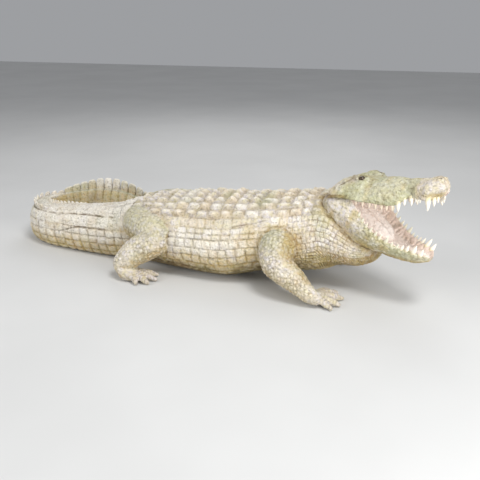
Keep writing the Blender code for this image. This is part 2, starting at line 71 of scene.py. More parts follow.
# Body sections from the throat to the tail's tip: x, y, height of the middle, half width, half
# height, roundness above and below, and the shares of the way round where the back and belly end.
BODY = (
    (196, -38, 64, 14, 13, 2.2, 2.2, 0.30, 0.72),
    (183, -30, 64, 31, 26, 2.2, 2.2, 0.30, 0.72),
    (160, -17, 72, 46, 41, 2.3, 2.2, 0.30, 0.72),
    (132, -8, 79, 56, 56, 2.4, 2.2, 0.30, 0.72),
    (104, -3, 74, 62, 56, 2.4, 2.2, 0.30, 0.72),
    (70, 0, 69, 70, 55, 2.4, 2.3, 0.30, 0.72),
    (30, 0, 65, 77, 54, 2.4, 2.4, 0.30, 0.72),
    (-28, 0, 56.5, 83, 58.5, 2.4, 2.5, 0.30, 0.72),
    (-86, 0, 54.5, 77, 56.5, 2.4, 2.5, 0.30, 0.72),
    (-136, 0, 51, 63, 53, 2.4, 2.5, 0.30, 0.72),
    (-180, 0, 45, 48, 47, 2.7, 2.6, 0.26, 0.76),
    (-226, 0, 40, 41, 42, 3.0, 2.7, 0.24, 0.80),
    (-272, 1, 37, 36, 39, 3.0, 2.7, 0.21, 0.82),
    (-318, 2, 35, 31, 37, 2.9, 2.7, 0.18, 0.84),
    (-358, 6, 33, 27, 35, 2.8, 2.6, 0.16, 0.85),
    (-392, 24, 32, 24, 34, 2.6, 2.5, 0.14, 0.86),
    (-405, 58, 32, 21, 33, 2.5, 2.5, 0.12, 0.87),
    (-390, 92, 32, 18, 33, 2.4, 2.5, 0.09, 0.88),
    (-355, 110, 34, 15.5, 35, 2.3, 2.5, 0.07, 0.88),
    (-312, 117, 36, 13.5, 37, 2.2, 2.5, 0.07, 0.88),
    (-270, 117, 33.5, 12, 34.5, 2.2, 2.5, 0.07, 0.88),
    (-232, 112, 28, 10, 29, 2.2, 2.4, 0.07, 0.88),
    (-198, 104, 21, 8, 22, 2.1, 2.3, 0.08, 0.88),
    (-168, 95, 15, 6, 16, 2.1, 2.2, 0.09, 0.88),
    (-145, 88, 9, 3.5, 9, 2.0, 2.0, 0.10, 0.88),
)
HIP_SECTION = 10
CRESTS_JOIN_SECTION = 17

# The two jaws turn the same way.
HEAD_TURN = -28.0
SKULL_AT = (150, -12, 128)
SKULL_PITCH = 10.0
JAW_AT = (150, -12, 136)
JAW_PITCH = -27.0

# Skull sections: distance from the hinge, crown height, then half width and height of the skull
# table's edge, the cheek and the lip, and the palate's height.
SKULL = (
    (-24, 18, 10, 12, 20, 4, 20, -6, -8),
    (-10, 25, 18, 20, 34, 12, 36, 2, -2),
    (2, 31, 23, 28, 42, 18, 43, 10, 3),
    (14, 34, 24, 34, 43, 20, 44, 11, 8),
    (28, 35, 23, 35, 41, 19, 43, 10, 12),
    (42, 34, 19, 33, 37, 18, 41, 7, 12),
    (55, 32, 15, 30, 33, 17, 37, 4, 12),
    (70, 33, 14, 30, 30, 16, 33, 2, 11),
    (82, 33, 13, 29, 27, 15, 30, 0, 10),
    (92, 32, 12, 28, 23, 14, 27, 0, 10),
    (100, 31, 10, 27, 18, 14, 21, 4, 10),
    (107, 31, 9, 27, 16, 15, 17, 8, 12),
    (117, 31, 10, 27, 18, 16, 18, 8, 12),
    (131, 32, 11, 28, 21, 17, 20, 6.5, 10),
    (138, 33.5, 11, 30, 20, 18, 15, 6, 10),
    (143, 33.5, 10, 30, 17, 18.5, 9, 6, 10),
    (148, 32.5, 9, 29, 13, 19, 6, 9, 12),
    (152.5, 28, 5, 26, 8, 20, 4, 13, 14.5),
    (154.5, 24, 2.5, 23, 4, 20, 2.5, 16.5, 17.5),
)

# Lower jaw sections: distance from the hinge, then half width and height of the mouth's floor, the
# gum's inner edge, the outer cheek and the keel.
JAW = (
    (-20, 8, -12, 14, -8, 22, -16, 12, -24),
    (-8, 22, -6, 33, 2, 42, -12, 26, -34),
    (4, 26, 0, 37, 14, 47, -8, 30, -38),
    (20, 28, -2, 38, 20, 46, -8, 31, -41),
    (34, 28, -6, 38, 17, 44, -9, 29, -41),
    (46, 27, -9, 36, 11, 41, -10, 27, -40),
    (58, 26, -11, 34, 4, 38, -12, 24, -38),
    (70, 24, -12, 32, 1, 35, -12, 21, -35),
    (85, 22, -12, 29, 0, 32, -11, 18, -30),
    (100, 18, -10, 25, 1, 28, -9, 15, -25),
    (113, 14, -7, 21, 4, 24, -6, 13, -20),
    (125, 11, -3, 17, 8, 21, -1, 12, -14),
    (136, 9, 3, 15, 11, 18, 4, 10, -8),
    (143, 6, 6, 10, 12, 12, 6, 7, -2),
    (148, 2, 6, 4, 11, 5, 8, 3, 3),
)

# Tongue sections in the lower jaw's frame: distance from the hinge, half width, top, bottom.
TONGUE = (
    (2, 18, 6, -8), (20, 22, 5, -12), (40, 21, 4, -16), (60, 19, 3, -16), (76, 15, 1, -15),
    (86, 9, -3, -14), (91, 3, -7, -12),
)

# Brows and eyes, on the skull: distance from the hinge, half the distance between them, height.
BROW_AT = (39, 18, 33)
BROW_SIZE = (15, 9, 4.4)
EYE_AT = (42, 22.3, 33.5)
EYE_RADIUS = 4.6
NOSTRIL_AT = (146, 4.5)
EAR_SLIT = (12, 16, 28, 32)

# Teeth: distance from the hinge and length. Each stands on the lip, on both sides.
UPPER_TEETH = (
    (40, 6), (49, 7), (58, 7), (66, 8), (74, 8), (81, 8), (88, 8), (95, 11), (102, 7), (111, 10),
    (118, 5), (124, 5), (134, 14), (140, 9), (143.5, 5),
)
LOWER_TEETH = (
    (46, 5), (54, 5), (62, 5), (70, 6), (78, 6), (85, 7), (94, 9), (102, 5), (109, 5),
    (115, 6), (121, 8), (129, 12), (138, 10),
)
TOOTH_SLENDERNESS = 0.22
TOOTH_SINK = 3.5

# Limbs on the right side, from inside the body outwards: x, y, height, half width, half height.
FORELEG = (
    (58, -30, 71, 20, 20),
    (60, -50, 70, 25, 25),
    (61, -66, 66, 27, 27),
    (63, -80, 57, 24.5, 24.5),
    (67, -90, 48, 21.5, 21.5),
    (81, -97, 40, 19, 19),
    (95, -101, 32, 16.5, 16.5),
    (106, -104, 24, 14, 13.5),
    (117, -105, 15, 13.5, 11.5),
    (130, -102, 9, 14, 8.5),
)
THIGH = (
    (-188, -14, 64, 22, 22),
    (-173, -32, 67, 28, 28),
    (-151, -48, 66, 30, 29),
    (-124, -61, 61, 28.5, 27),
    (-103, -68, 57, 20, 20),
)
SHANK = (
    (-108, -73, 58, 12, 12),
    (-124, -77, 55, 20, 20),
    (-143, -85, 46, 21.5, 21.5),
    (-159, -93, 34, 19, 19),
    (-169, -98, 20, 16.5, 16.5),
    (-163, -100, 11, 16, 11.5),
    (-148, -100, 8, 16, 8.5),
)
FAR_THIGH_LIFT = 14.0
FOREFOOT_AT = (122, -102, 10)
FORE_TOES = ((136, -52), (149, -57), (160, -75), (160, -99), (151, -115))
HINDFOOT_AT = (-156, -100, 9)
HIND_TOES = ((-122, -78), (-115, -97), (-121, -114), (-138, -121))
TOE_RADII = (7.0, 6.2, 5.4, 4.8, 2.4)

# Fineness of the skins: the body's rings and its lines over half the back, a flank and half the
# belly, other skins' rings and points in a ring, and the legs' voxel.
TRUNK_RINGS = 190
TAIL_RINGS = 320
BODY_LINES = (54, 80, 16)
SKULL_GRID = (250, 200)
JAW_GRID = (220, 180)
TONGUE_GRID = (80, 60)
LIMB_GRID = (48, 32)
LIMB_LOFT = (96, 48)
TOE_LOFT = (40, 24)
LEG_VOXEL = 1.15

# Scale rows. The back's rows go from the nape to the hips, and the flank's lines are band numbers.
# Places along the body are millimetres from the throat.
NECK_END = 128.0
SHOULDER_END = 230.0
LEGS_END = 470.0
BACK_LINES = (0, 12, 24, 37, 50, 63, 76, 90, 104, 124, 148, *np.arange(173.5, 389, 19.5))
BACK_COLUMNS = 4
FLANK_LINES = (1.0, 1.16, 1.25, 1.34, 1.48, 1.61, 1.75, 1.88, 2.0)
FLANK_PITCH = 14.0
NECK_PITCH = 7.8
NECK_ROWS = 10
BELLY_PITCH = 12.0
BELLY_COLUMNS = 5
TAIL_LINES = (1.32, 1.49, 1.66, 1.83, 2.0)
TAIL_PITCH = 17.0
DISTAL_LINES = (0, 1.3, 1.55, 1.78, 2.0)
SCUTE_HEIGHT = 6.4
SCUTE_PITCH = 19.4

# Row numbers that the neck's and the tail's end's tiles start from, apart from all others.
NECK_FIRST_ROW = 40
DISTAL_FIRST_ROW = 20

# Crest plates of the tail's end, with heights along part of a sine wave given in half waves, and
# rows of spines on the bend: from, to, pitch, tallest height, band and half sizes. The blades
# start BLADE_SINK deep, LIT_PLATE is the palest plate, and the skin leaves CREST_ROOM for them.
PLATE_PITCH = 15.5
PLATE_HEIGHT = 20.0
PLATE_WAVE = (0.12, 0.95)
OUTER_SPINES = (548, 694, 12.0, 7.0, -0.9, 5.8, 2.4)
INNER_SPINES = (498, 664, 8.5, 5.5, 0.95, 3.4, 1.6)
BLADE_SINK = 4.0
LIT_PLATE = 5.3
CREST_ROOM = 1.1

# Folds, washes and painted shade: steps along the body as from and to, stretches of it as start,
# full, fall and stop, and steps round it as band numbers. TAIL_BEND and TAIL_INSIDE place the
# painted shade on the inner wall of the tail's bend, and BELLY_SHADE the painted shade under the belly.
THROAT = (90, 125)
NAPE = (60, 100)
BRIGHT_FLANK = (170, 215, 330, 370)
TAIL_BEND = (520, 560, 690, 740)
TAIL_INSIDE = (420, 470)
TAIL_END = (660, 700)
OCHRE_SHADE = (1.38, 1.72)
BELLY_SHADE = (1.64, 1.95)

# Fields of the carved surfaces, which the paint follows; groove and ochre also carry painted shade. FAR is
# a distance beyond all others.
FIELDS = ("groove", "keel", "tint", "ochre", "green", "pale", "flesh")
FAR = 99.0

# Studio lights: name, place, size and watts.
LIGHTS = (
    ("key", (0.6, -0.55, 1.4), 0.45, 12.4),
    ("fill", (-0.9, -0.95, 0.75), 0.8, 7.6),
    ("front", (0.9, -0.75, 0.25), 0.4, 6.2),
    ("back", (-0.2, 1.1, 1.1), 0.8, 5.0),
)

# The photo's viewpoint: azimuth, elevation, distance, target and lens.
CAMERA_AZIMUTH = 18.0
CAMERA_ELEVATION = 20.0
CAMERA_DISTANCE = 0.9
CAMERA_TARGET = (0.0709, -0.0545, 0.063)
CAMERA_LENS = 45.7


def curve_through(points, t, closed=False):
    """Rows of a smooth curve through the given rows, read at t, which counts rows."""
    points = np.asarray(points, float)
    count = len(points)
    first = np.floor(t).astype(int)
    if not closed:
        first = np.clip(first, 0, count - 2)
    f = (t - first)[:, None]

    def row(offset):
        if closed:
            return points[(first + offset) % count]
        return points[np.clip(first + offset, 0, count - 1)]

    a, b, c, d = (row(k) for k in (-1, 0, 1, 2))
    return 0.5 * (2 * b + (c - a) * f + (2 * a - 5 * b + 4 * c - d) * f**2 + (3 * b - 3 * c + d - a) * f**3)


def unit(vectors):
    return vectors / np.maximum(np.linalg.norm(vectors, axis=-1, keepdims=True), 1e-9)


def fade(x, start, stop):
    """0 up to start and 1 from stop on, with a soft step between."""
    t = np.clip((x - start) / (stop - start), 0, 1)
    return t * t * (3 - 2 * t)


def bell(away, width):
    """1 in the middle, fading out at about twice the width."""
    return np.exp(-((away / width) ** 2))


def stretch(x, start, full, fall, stop):
    """1 along a stretch of x, with soft ends."""
    return fade(x, start, full) * (1 - fade(x, fall, stop))


def draw(*cells, seed=0):
    """A fixed number from 0 to 1 for each whole-numbered cell."""
    mix = np.full(np.shape(cells[0]), seed * 2654435761 % 2**32, np.uint32)
    for cell, prime in zip(cells, (73856093, 19349663, 83492791)):
        mix ^= np.asarray(cell).astype(np.int64).astype(np.uint32) * np.uint32(prime)
        mix ^= mix >> 13
        mix *= np.uint32(1274126177)
    mix ^= mix >> 16
    return (mix & 0xFFFFFF) / float(0xFFFFFF)


def lumps(points, size, seed=0):
    """Smooth noise from -1 to 1, in lumps of about the given size."""
    p = np.asarray(points, float) / size
    cell = np.floor(p)
    f = p - cell
    f = f * f * (3 - 2 * f)
    total = 0
    for corner in itertools.product((0, 1), repeat=3):
        weight = np.prod(np.where(corner, f, 1 - f), axis=1)
        total = total + weight * draw(*(cell + corner).T, seed=seed)
    return 2 * total - 1


def pebbles(points, size, seed=0):
    """Irregular scales: distance from a scale's edge and from its middle, and the scale's number."""
    p = np.asarray(points, float) / size
    base = np.floor(p)
    nearest = np.full(len(p), FAR)
    second = np.full(len(p), FAR)
    number = np.zeros(len(p))
    for step in itertools.product((-1, 0, 1), repeat=3):
        cell = base + step
        shift = np.stack([draw(*cell.T, seed=seed + k) for k in range(3)], axis=1) - 0.5
        away = np.linalg.norm(p - (cell + 0.5 + 0.75 * shift), axis=1)
        closer = away < nearest
        second = np.where(closer, nearest, np.minimum(second, away))
        number = np.where(closer, draw(*cell.T, seed=seed + 7), number)
        nearest = np.where(closer, away, nearest)
    return (second - nearest) * size, nearest, number


class Loft:
    """A skin through closed sections, read at (along, around)."""

    def __init__(self, sections, rows=320, columns=128):
        sections = np.array(sections, float)
        count, points = sections.shape[:2]
        fine = np.linspace(0, count - 1, 8 * rows)
        middle = curve_through(sections.mean(axis=1), fine)
        run = np.concatenate([[0], np.cumsum(np.linalg.norm(np.diff(middle, axis=0), axis=1))])
        self.length = run[-1]
        t = np.interp(np.linspace(0, self.length, rows), run, fine)
        self.station_at = np.interp(np.arange(count), fine, run)
        ribs = curve_through(sections.reshape(count, -1), t).reshape(rows, points, 3)
        u = np.linspace(0, points, columns, endpoint=False)
        grid = curve_through(ribs.transpose(1, 0, 2).reshape(points, -1), u, closed=True)
        self.grid = grid.reshape(columns, rows, 3).transpose(1, 0, 2)
        along = np.gradient(self.grid, axis=0)
        around = np.roll(self.grid, -1, axis=1) - np.roll(self.grid, 1, axis=1)
        self.normals = unit(np.cross(around, along))

    def read(self, grid, along, around):
        rows, columns = grid.shape[:2]
        i = np.clip(np.asarray(along, float) / self.length, 0, 1) * (rows - 1)
        j = np.asarray(around, float) % 1 * columns
        i0 = np.minimum(i.astype(int), rows - 2)
        j0 = j.astype(int) % columns
        j1 = (j0 + 1) % columns
        fi = (i - i0)[:, None]
        fj = (j - np.floor(j))[:, None]
        low = grid[i0, j0] * (1 - fj) + grid[i0, j1] * fj
        high = grid[i0 + 1, j0] * (1 - fj) + grid[i0 + 1, j1] * fj
        return low * (1 - fi) + high * fi

    def at(self, along, around, height=0.0):
        normals = unit(self.read(self.normals, along, around))
        return self.read(self.grid, along, around) + normals * np.reshape(height, (-1, 1))


def spread_out(along, around):
    """Every pair of the two rows of places, ring by ring."""
    return (places.ravel() for places in np.meshgrid(along, around, indexing="ij"))


def loft_grid(loft, grid):
    """Places all over a loft, as along and around for each point."""
    rows, columns = grid
    return spread_out(np.linspace(0, loft.length, rows), np.arange(columns) / columns)


def oval(half_width, half_height, above, below, points=32):
    """A rounded section as (side, up) pairs at equal steps, from the top round by the left."""
    angle = np.linspace(0, 2 * math.pi, 721)
    power = np.where(np.cos(angle) >= 0, 2 / above, 2 / below)
    side = half_width * np.sign(np.sin(angle)) * np.abs(np.sin(angle)) ** power
    up = half_height * np.sign(np.cos(angle)) * np.abs(np.cos(angle)) ** power
    run = np.concatenate([[0], np.cumsum(np.hypot(np.diff(side), np.diff(up)))])
    even = np.linspace(0, run[-1], points, endpoint=False)
    return np.stack([np.interp(even, run, side), np.interp(even, run, up)], axis=1)


def body_loft():
    table = np.array(BODY, float)
    middles = table[:, :3]
    tangents = unit(np.gradient(middles, axis=0))
    left = unit(np.cross(tangents, [0, 0, 1]))
    up = np.cross(left, tangents)
    sections = []
    for row, middle, l, u in zip(table, middles, left, up):
        ring = oval(*row[3:7])
        sections.append(middle + ring[:, :1] * l + ring[:, 1:] * u)
    return Loft(sections)


class BodySkin:
    """The body's skin by (along, band): band 0 is the spine, 1 the back's edge, 2 the belly's edge
    and 3 the belly's middle. It is positive on the left side and negative on the right."""

    def __init__(self):
        self.loft = body_loft()
        self.length = self.loft.length
        self.back_edge = np.array(BODY)[:, 7] / 2
        self.belly_edge = np.array(BODY)[:, 8] / 2
        stations = np.linspace(0, self.length, 60)
        bands = np.linspace(0, 3, 61)
        rib = np.array([self.at(np.full(61, s), bands) for s in stations])
        run = np.cumsum(np.linalg.norm(np.diff(rib, axis=1), axis=2), axis=1)
        self.stations = stations
        self.widths = np.stack([run[:, 19], run[:, 39] - run[:, 19], run[:, 59] - run[:, 39]], axis=1)

    def at(self, along, band, height=0.0):
        along = np.asarray(along, float)
        band = np.asarray(band, float)
        back = np.interp(along, self.loft.station_at, self.back_edge)
        belly = np.interp(along, self.loft.station_at, self.belly_edge)
        size = np.abs(band)
        around = np.where(size < 1, size * back, back + (size - 1) * (belly - back))
        around = np.where(size > 2, belly + (size - 2) * (0.5 - belly), around)
        return self.loft.at(along, np.where(band < 0, 1 - around, around), height)

    def width(self, along, zone):
        """Millimetres across the back, the flank or the belly's half, at places along the body."""
        return np.interp(along, self.stations, self.widths[:, zone])


def tube_sections(path, points=12):
    table = np.array(path, float)
    middles = table[:, :3]
    tangents = unit(np.gradient(middles, axis=0))
    up = np.array([0.0, 0.0, 1.0])
    sections = []
    for k in reversed(range(len(table))):
        up = unit(up - tangents[k] * (up @ tangents[k]))
        side = np.cross(tangents[k], up)
        ring = oval(table[k, 3], table[k, 4], 2, 2, points)
        sections.append(middles[k] + ring[:, :1] * side + ring[:, 1:] * up)
    return sections[::-1]


def frame_of(at, pitch):
    """A jaw's frame: x forward, y to the left, z up."""
    turn = Matrix.Rotation(math.radians(HEAD_TURN), 4, "Z")
    nod = Matrix.Rotation(math.radians(-pitch), 4, "Y")
    return Matrix.Translation(Vector(at)) @ turn @ nod


def placed(sections, frame_matrix):
    matrix = np.array(frame_matrix)
    return [np.asarray(s) @ matrix[:3, :3].T + matrix[:3, 3] for s in sections]


def local(points, frame_matrix):
    """Points in a jaw's own frame."""
    matrix = np.array(frame_matrix)
    return (points - matrix[:3, 3]) @ matrix[:3, :3]


def skull_half(crown, top_w, top_z, cheek_w, cheek_z, lip_w, lip_z, palate):
    """The left half of a skull section as (side, up), from the crown round to the palate."""
    return [
        (0, crown),
        (top_w * 0.55, (crown + top_z) / 2 + 0.5),
        (top_w, top_z),
        ((top_w + cheek_w) / 2 + 1, (top_z + cheek_z) / 2 + 2),
        (cheek_w, cheek_z),
        (lip_w, (cheek_z + lip_z) / 2),
        (lip_w, lip_z + 1.5),
        (lip_w * 0.93, lip_z),
        (lip_w * 0.8, lip_z + (palate - lip_z) * 0.3),
        (lip_w * 0.62, palate),
        (0, palate + 1),
    ]


def jaw_half(floor_w, floor_z, gum_w, gum_z, cheek_w, cheek_z, keel_w, keel_z):
    """The left half of a lower jaw section, from the mouth's floor round to the keel."""
    return [
        (0, floor_z),
        (floor_w * 0.6, floor_z),
        (floor_w, floor_z + (gum_z - floor_z) * 0.35),
        (gum_w, gum_z),
        ((gum_w + cheek_w) / 2, gum_z - 1),
        (cheek_w, (gum_z + cheek_z) / 2),
        (cheek_w, cheek_z),
        ((cheek_w + keel_w) / 2 + 2, (cheek_z + keel_z) / 2),
        (keel_w, keel_z + 1),
        (0, keel_z),
    ]


def tongue_half(width, top, bottom):
    """The left half of a tongue section, from the top round to the underside."""
    middle = (top + bottom) / 2
    return [(0, top - 1.5), (width * 0.5, top), (width, middle), (width * 0.6, bottom), (0, bottom)]


def head_sections(table, half_of, frame_matrix):
    """Closed sections of a part of the head, from the front to the hinge."""
    sections = []
    for at, *measures in reversed(table):
        half = half_of(*measures)
        right = [(-side, up) for side, up in half[-2:0:-1]]
        sections.append([(at, side, up) for side, up in [*half, *right]])
    return placed(sections, frame_matrix)


def add_piece(name, points, faces, material, relief=None, flat_faces=()):
    """Puts a smooth piece of the casting in the scene. Points are the tables' millimetres, and the
    relief's fields are stored with them."""
    points = np.clip((np.asarray(points) - CENTRE) * MM, *CAD_BOX)
    mesh = bpy.data.meshes.new(name)
    mesh.from_pydata(points.tolist(), [], faces)
    mesh.shade_smooth()
    for k in flat_faces:
        mesh.polygons[k].use_smooth = False
    for field in FIELDS if relief else ():
        attribute = mesh.attributes.new(field, "FLOAT", "POINT")
        attribute.data.foreach_set("value", np.asarray(getattr(relief, field), np.float32))
    mesh.materials.append(material)
    mesh.update()
    piece = bpy.data.objects.new(name, mesh)
    bpy.context.scene.collection.objects.link(piece)
    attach(piece, "root")
    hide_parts(NODE)


def ring_faces(rows, columns):
    """Quads between closed rings of points, and a fan over each end round two further points."""
    i, j = np.meshgrid(np.arange(rows - 1), np.arange(columns), indexing="ij")
    k = (j + 1) % columns
    here, beyond = i * columns, (i + 1) * columns
    quads = np.stack([here + j, here + k, beyond + k, beyond + j], axis=-1)
    first, last = rows * columns, rows * columns + 1
    end = (rows - 1) * columns
    fans = [(first, (j + 1) % columns, j) for j in range(columns)]
    fans += [(last, end + j, end + (j + 1) % columns) for j in range(columns)]
    return quads.reshape(-1, 4).tolist() + fans


def with_ends(values, columns):
    """Values of ring after ring, and the means of the first and the last ring."""
    return np.concatenate([values, [values[:columns].mean(axis=0), values[-columns:].mean(axis=0)]])


def add_skin(name, grid, points, material, relief, flat_ends=False):
    """Adds a closed skin from rings of points, with a middle point at each end."""
    rows, columns = grid
    for field in FIELDS:
        setattr(relief, field, with_ends(getattr(relief, field), columns))
    faces = ring_faces(rows, columns)
    flat = range(len(faces) - 2 * columns, len(faces)) if flat_ends else ()
    add_piece(name, with_ends(points, columns), faces, material, relief, flat)


def tile_edge(fu, fv, size_u, size_v, corner):
    """Distance from the edge of a round-cornered tile, from the place inside it."""
    du = np.minimum(fu, 1 - fu) * size_u
    dv = np.minimum(fv, 1 - fv) * size_v
    rounded = corner - np.hypot(corner - du, corner - dv)
    return np.where((du < corner) & (dv < corner), rounded, np.minimum(du, dv))


def dome(fu, fv):
    """The rounding of a tile: 1 in its middle and 0 on its edges."""
    return (1 - (2 * fu - 1) ** 2) * (1 - (2 * fv - 1) ** 2)


def seams(edge, depth, width, haze, reach):
    """Dark paint along the edge of a scale, with a faint haze that reaches further in."""
    return np.maximum(depth - depth * fade(edge, 0.1, width), haze * (1 - fade(edge, 0.4, reach)))


def line_number(values, lines):
    """How many lines lie before each value, with the share of the way to the next, and its pitch."""
    lines = np.asarray(lines, float)
    number = np.interp(values, lines, np.arange(len(lines)))
    row = np.clip(np.floor(number), 0, len(lines) - 2)
    return row, number - row, np.diff(lines)[row.astype(int)]


def crease(away, width, depth):
    return -depth * bell(away, width)


class Relief:
    """What a carved surface gathers up: its height and the fields that its paint follows."""

    def __init__(self, count):
        for name in ("height", *FIELDS):
            setattr(self, name, np.zeros(count))
        self.tint += 0.5

    def put(self, where, **values):
        """Replaces the named fields where asked."""
        for name, value in values.items():
            np.copyto(getattr(self, name), value, where=where)

    def most(self, **values):
        """Lifts each named field to the given value wherever it is lower."""
        for name, value in values.items():
            setattr(self, name, np.maximum(getattr(self, name), value))


def wear_and_shade(points):
    """How much of the dark wash is left in a groove from place to place; it also varies the painted shade
    between the back's keels.
    """
    return np.clip(0.72 + 0.75 * lumps(points, 9, seed=91) + 0.3 * lumps(points, 3.5, seed=92), 0.15, 1)


def back_scutes(relief, s, size, points, where):
    """Keeled scutes in rows across the back, four to a side."""
    row, fu, pitch = line_number(s, BACK_LINES)
    column = np.clip(np.floor(size * BACK_COLUMNS), 0, BACK_COLUMNS - 1)
    fv = size * BACK_COLUMNS - column
    chance = draw(row, column, seed=3)
    edge = tile_edge(fu, fv, pitch, SKIN.width(s, 0) / BACK_COLUMNS, 2.4)
    lean = np.clip(fu, 0, 1) ** 1.15
    ridge = np.clip(1 - np.abs(2 * lean - 1) ** 2.0, 0, 1) * bell(fv - 0.5, 0.25)
    strength = (0.7 + 0.55 * chance) * np.interp(column, (0, 3), (1.15, 0.7)) * fade(s, 60, 110)
    pitted = 1 + 0.28 * lumps(points, 5, seed=14)
    round_plate = 0.55 * (1 - fade(edge, 0.1, 1.3))
    # Painted shade in the hollows off each scute's keel; the plates' edges take the dark wash.
    round_ridge = 0.42 * (1 - fade(ridge, 0.1, 0.7))
    relief.put(
        where,
        height=fade(edge, 0.2, 2.6) + SCUTE_HEIGHT * 0.8 * strength * ridge * pitted,
        groove=np.maximum(round_plate, round_ridge) * wear_and_shade(points),
        keel=0.8 * ridge * fade(ridge, 0.25, 0.9),
        tint=chance,
    )


def flank_tiles(relief, s, size, points, where):
    """Flat squares on the flank, small on the neck."""
    row, fv, span = line_number(size, FLANK_LINES)
    tall = span * SKIN.width(s, 1)
    u = s / FLANK_PITCH + 0.8 * draw(row, seed=5)
    v = (size - 1) * NECK_ROWS
    neck = s < NECK_END
    row = np.where(neck, np.floor(v) + NECK_FIRST_ROW, row)
    u = np.where(neck, s / NECK_PITCH + 0.5 * draw(row, seed=5), u)
    fv = np.where(neck, v - np.floor(v), fv)
    tall = np.where(neck, SKIN.width(s, 1) / NECK_ROWS, tall)
    long = np.where(neck, NECK_PITCH, FLANK_PITCH)
    fu = u - np.floor(u)
    soft = np.where(neck, 0.7, 1.0)
    edge = tile_edge(fu, fv, long, tall, 2.0 * soft) / soft
    chance = draw(np.floor(u), row, seed=11)
    bulge = (0.4 + 0.7 * chance) * dome(fu, fv)
    faint = np.where(neck, 1.0, 0.4 + 0.6 * fade(size, 1.1, 1.3))
    relief.put(
        where,
        height=(0.9 * fade(edge, 0.1, 1.6) + bulge) * soft * faint,
        groove=seams(edge, 0.85, 1.0, 0.2, 3.0) * wear_and_shade(points) * faint,
        keel=0.5 * fade(edge, 0.8, 2.6) * (0.3 + 0.7 * chance),
        tint=chance,
    )


def belly_tiles(relief, s, size, where):
    u = s / BELLY_PITCH
    v = (size - 2) * BELLY_COLUMNS
    edge = tile_edge(u % 1, v % 1, BELLY_PITCH, SKIN.width(s, 2) / BELLY_COLUMNS, 1.5)
    relief.put(
        where,
        height=0.8 * fade(edge, 0.1, 1.4),
        groove=1 - fade(edge, 0.2, 1.5),
        keel=0.0,
        tint=draw(np.floor(u), np.floor(v), seed=13),
    )


def tail_tiles(relief, s, size, points, where):
    """The tail's sides: a smooth band under the crest, then rows of squares."""
    row, fv, span = line_number(size, TAIL_LINES)
    end_row, end_fv, end_span = line_number(size, DISTAL_LINES)
    distal = s > JOIN
    row = np.where(distal, end_row + DISTAL_FIRST_ROW, row)
    fv = np.where(distal, end_fv, fv)
    tall = np.where(distal, end_span, span) * SKIN.width(s, 1)
    u = np.where(distal, (s - JOIN) / PLATE_STEP, s / TAIL_PITCH + 0.12 * draw(row, seed=6))
    fu = u % 1
    ring_away = np.minimum(fu, 1 - fu) * TAIL_PITCH
    line_away = np.minimum(fv, 1 - fv) * tall
    edge = tile_edge(fu, fv, TAIL_PITCH, tall, 1.8)
    open_edge = np.minimum(edge + 1.5 * fade(line_away, 3, 1), ring_away + 0.6)
    edge = np.where(distal, open_edge, edge)
    below = np.where(distal, 1.0, fade(size, TAIL_LINES[0] - 0.03, TAIL_LINES[0] + 0.01))
    ring = 1 - fade(ring_away, 0.3, 1.4)
    chance = draw(np.floor(u), row * below, seed=17)
    tile = 1.2 * fade(edge, 0.1, 1.7) + (0.4 + 0.9 * chance) * dome(fu, fv)
    relief.put(
        where,
        height=tile * below - 0.2 * ring * (1 - below),
        groove=np.where(below > 0.5, seams(edge, 0.85, 1.1, 0.3, 3.4) * wear_and_shade(points), 0.15 * ring),
        keel=0.5 * fade(edge, 1.0, 3.0) * (0.3 + 0.7 * chance) * below,
        tint=chance,
    )


def tail_top(relief, s, size, points, where):
    """The flat top of the tail: the back's scutes die out into fine slanting lines."""
    slant = np.sin((s * 0.9 - size * 26 + 1.5 * lumps(points, 14, seed=31)) * 1.15)
    scutes = 1 - fade(s, HIP + 10, HIP + 70)
    u = s / SCUTE_PITCH
    v = size * 2
    edge = tile_edge(u % 1, v % 1, SCUTE_PITCH, SKIN.width(s, 0) / 2, 2.0)
    ridge = bell(v % 1 - 0.5, 0.22) * (1 - np.abs(2 * (u % 1) - 1) ** 3)
    relief.put(
        where,
        height=scutes * (0.9 * fade(edge, 0.1, 1.6) + 2.2 * ridge) + (1 - scutes) * (0.9 + 0.3 * slant),
        groove=scutes * (1 - fade(edge, 0.1, 1.8)) + (1 - scutes) * 0.3 * fade(-slant, 0.2, 1),
        keel=scutes * ridge + (1 - scutes) * 0.5 * fade(slant, 0.3, 1),
        tint=draw(np.floor(u), np.floor(v), seed=19),
    )


def carve_tiles(relief, s, band, points, warp):
    """All scales of the body, on lines that wander a little."""
    size = np.abs(band)
    s_warped = s + 1.1 * warp + np.where(s < NECK_END, 2.0, 0.9) * lumps(points, 9, seed=2)
    wander = (0.9 * lumps(points, 20, seed=4) + 0.8 * lumps(points, 8, seed=5)) / 75
    size_warped = size + wander
    trunk = s < HIP
    distal = s > JOIN
    tail = ~trunk & ~distal
    top, flank, belly = (np.clip(size_warped, k, k + 0.999) for k in range(3))
    back_scutes(relief, s_warped, top, points, trunk & (size < 1))
    flank_tiles(relief, s_warped + 3.7 * (band < 0), flank, points, trunk & (size >= 1))
    belly_tiles(relief, s_warped, belly, size >= 2)
    tail_tiles(relief, s_warped, flank, points, tail & (size >= 1) & (size < 2))
    tail_tiles(relief, s_warped, np.clip(size_warped, 0, 1.999), points, distal & (size < 2))
    tail_top(relief, s, size_warped, points, tail & (size < 1))


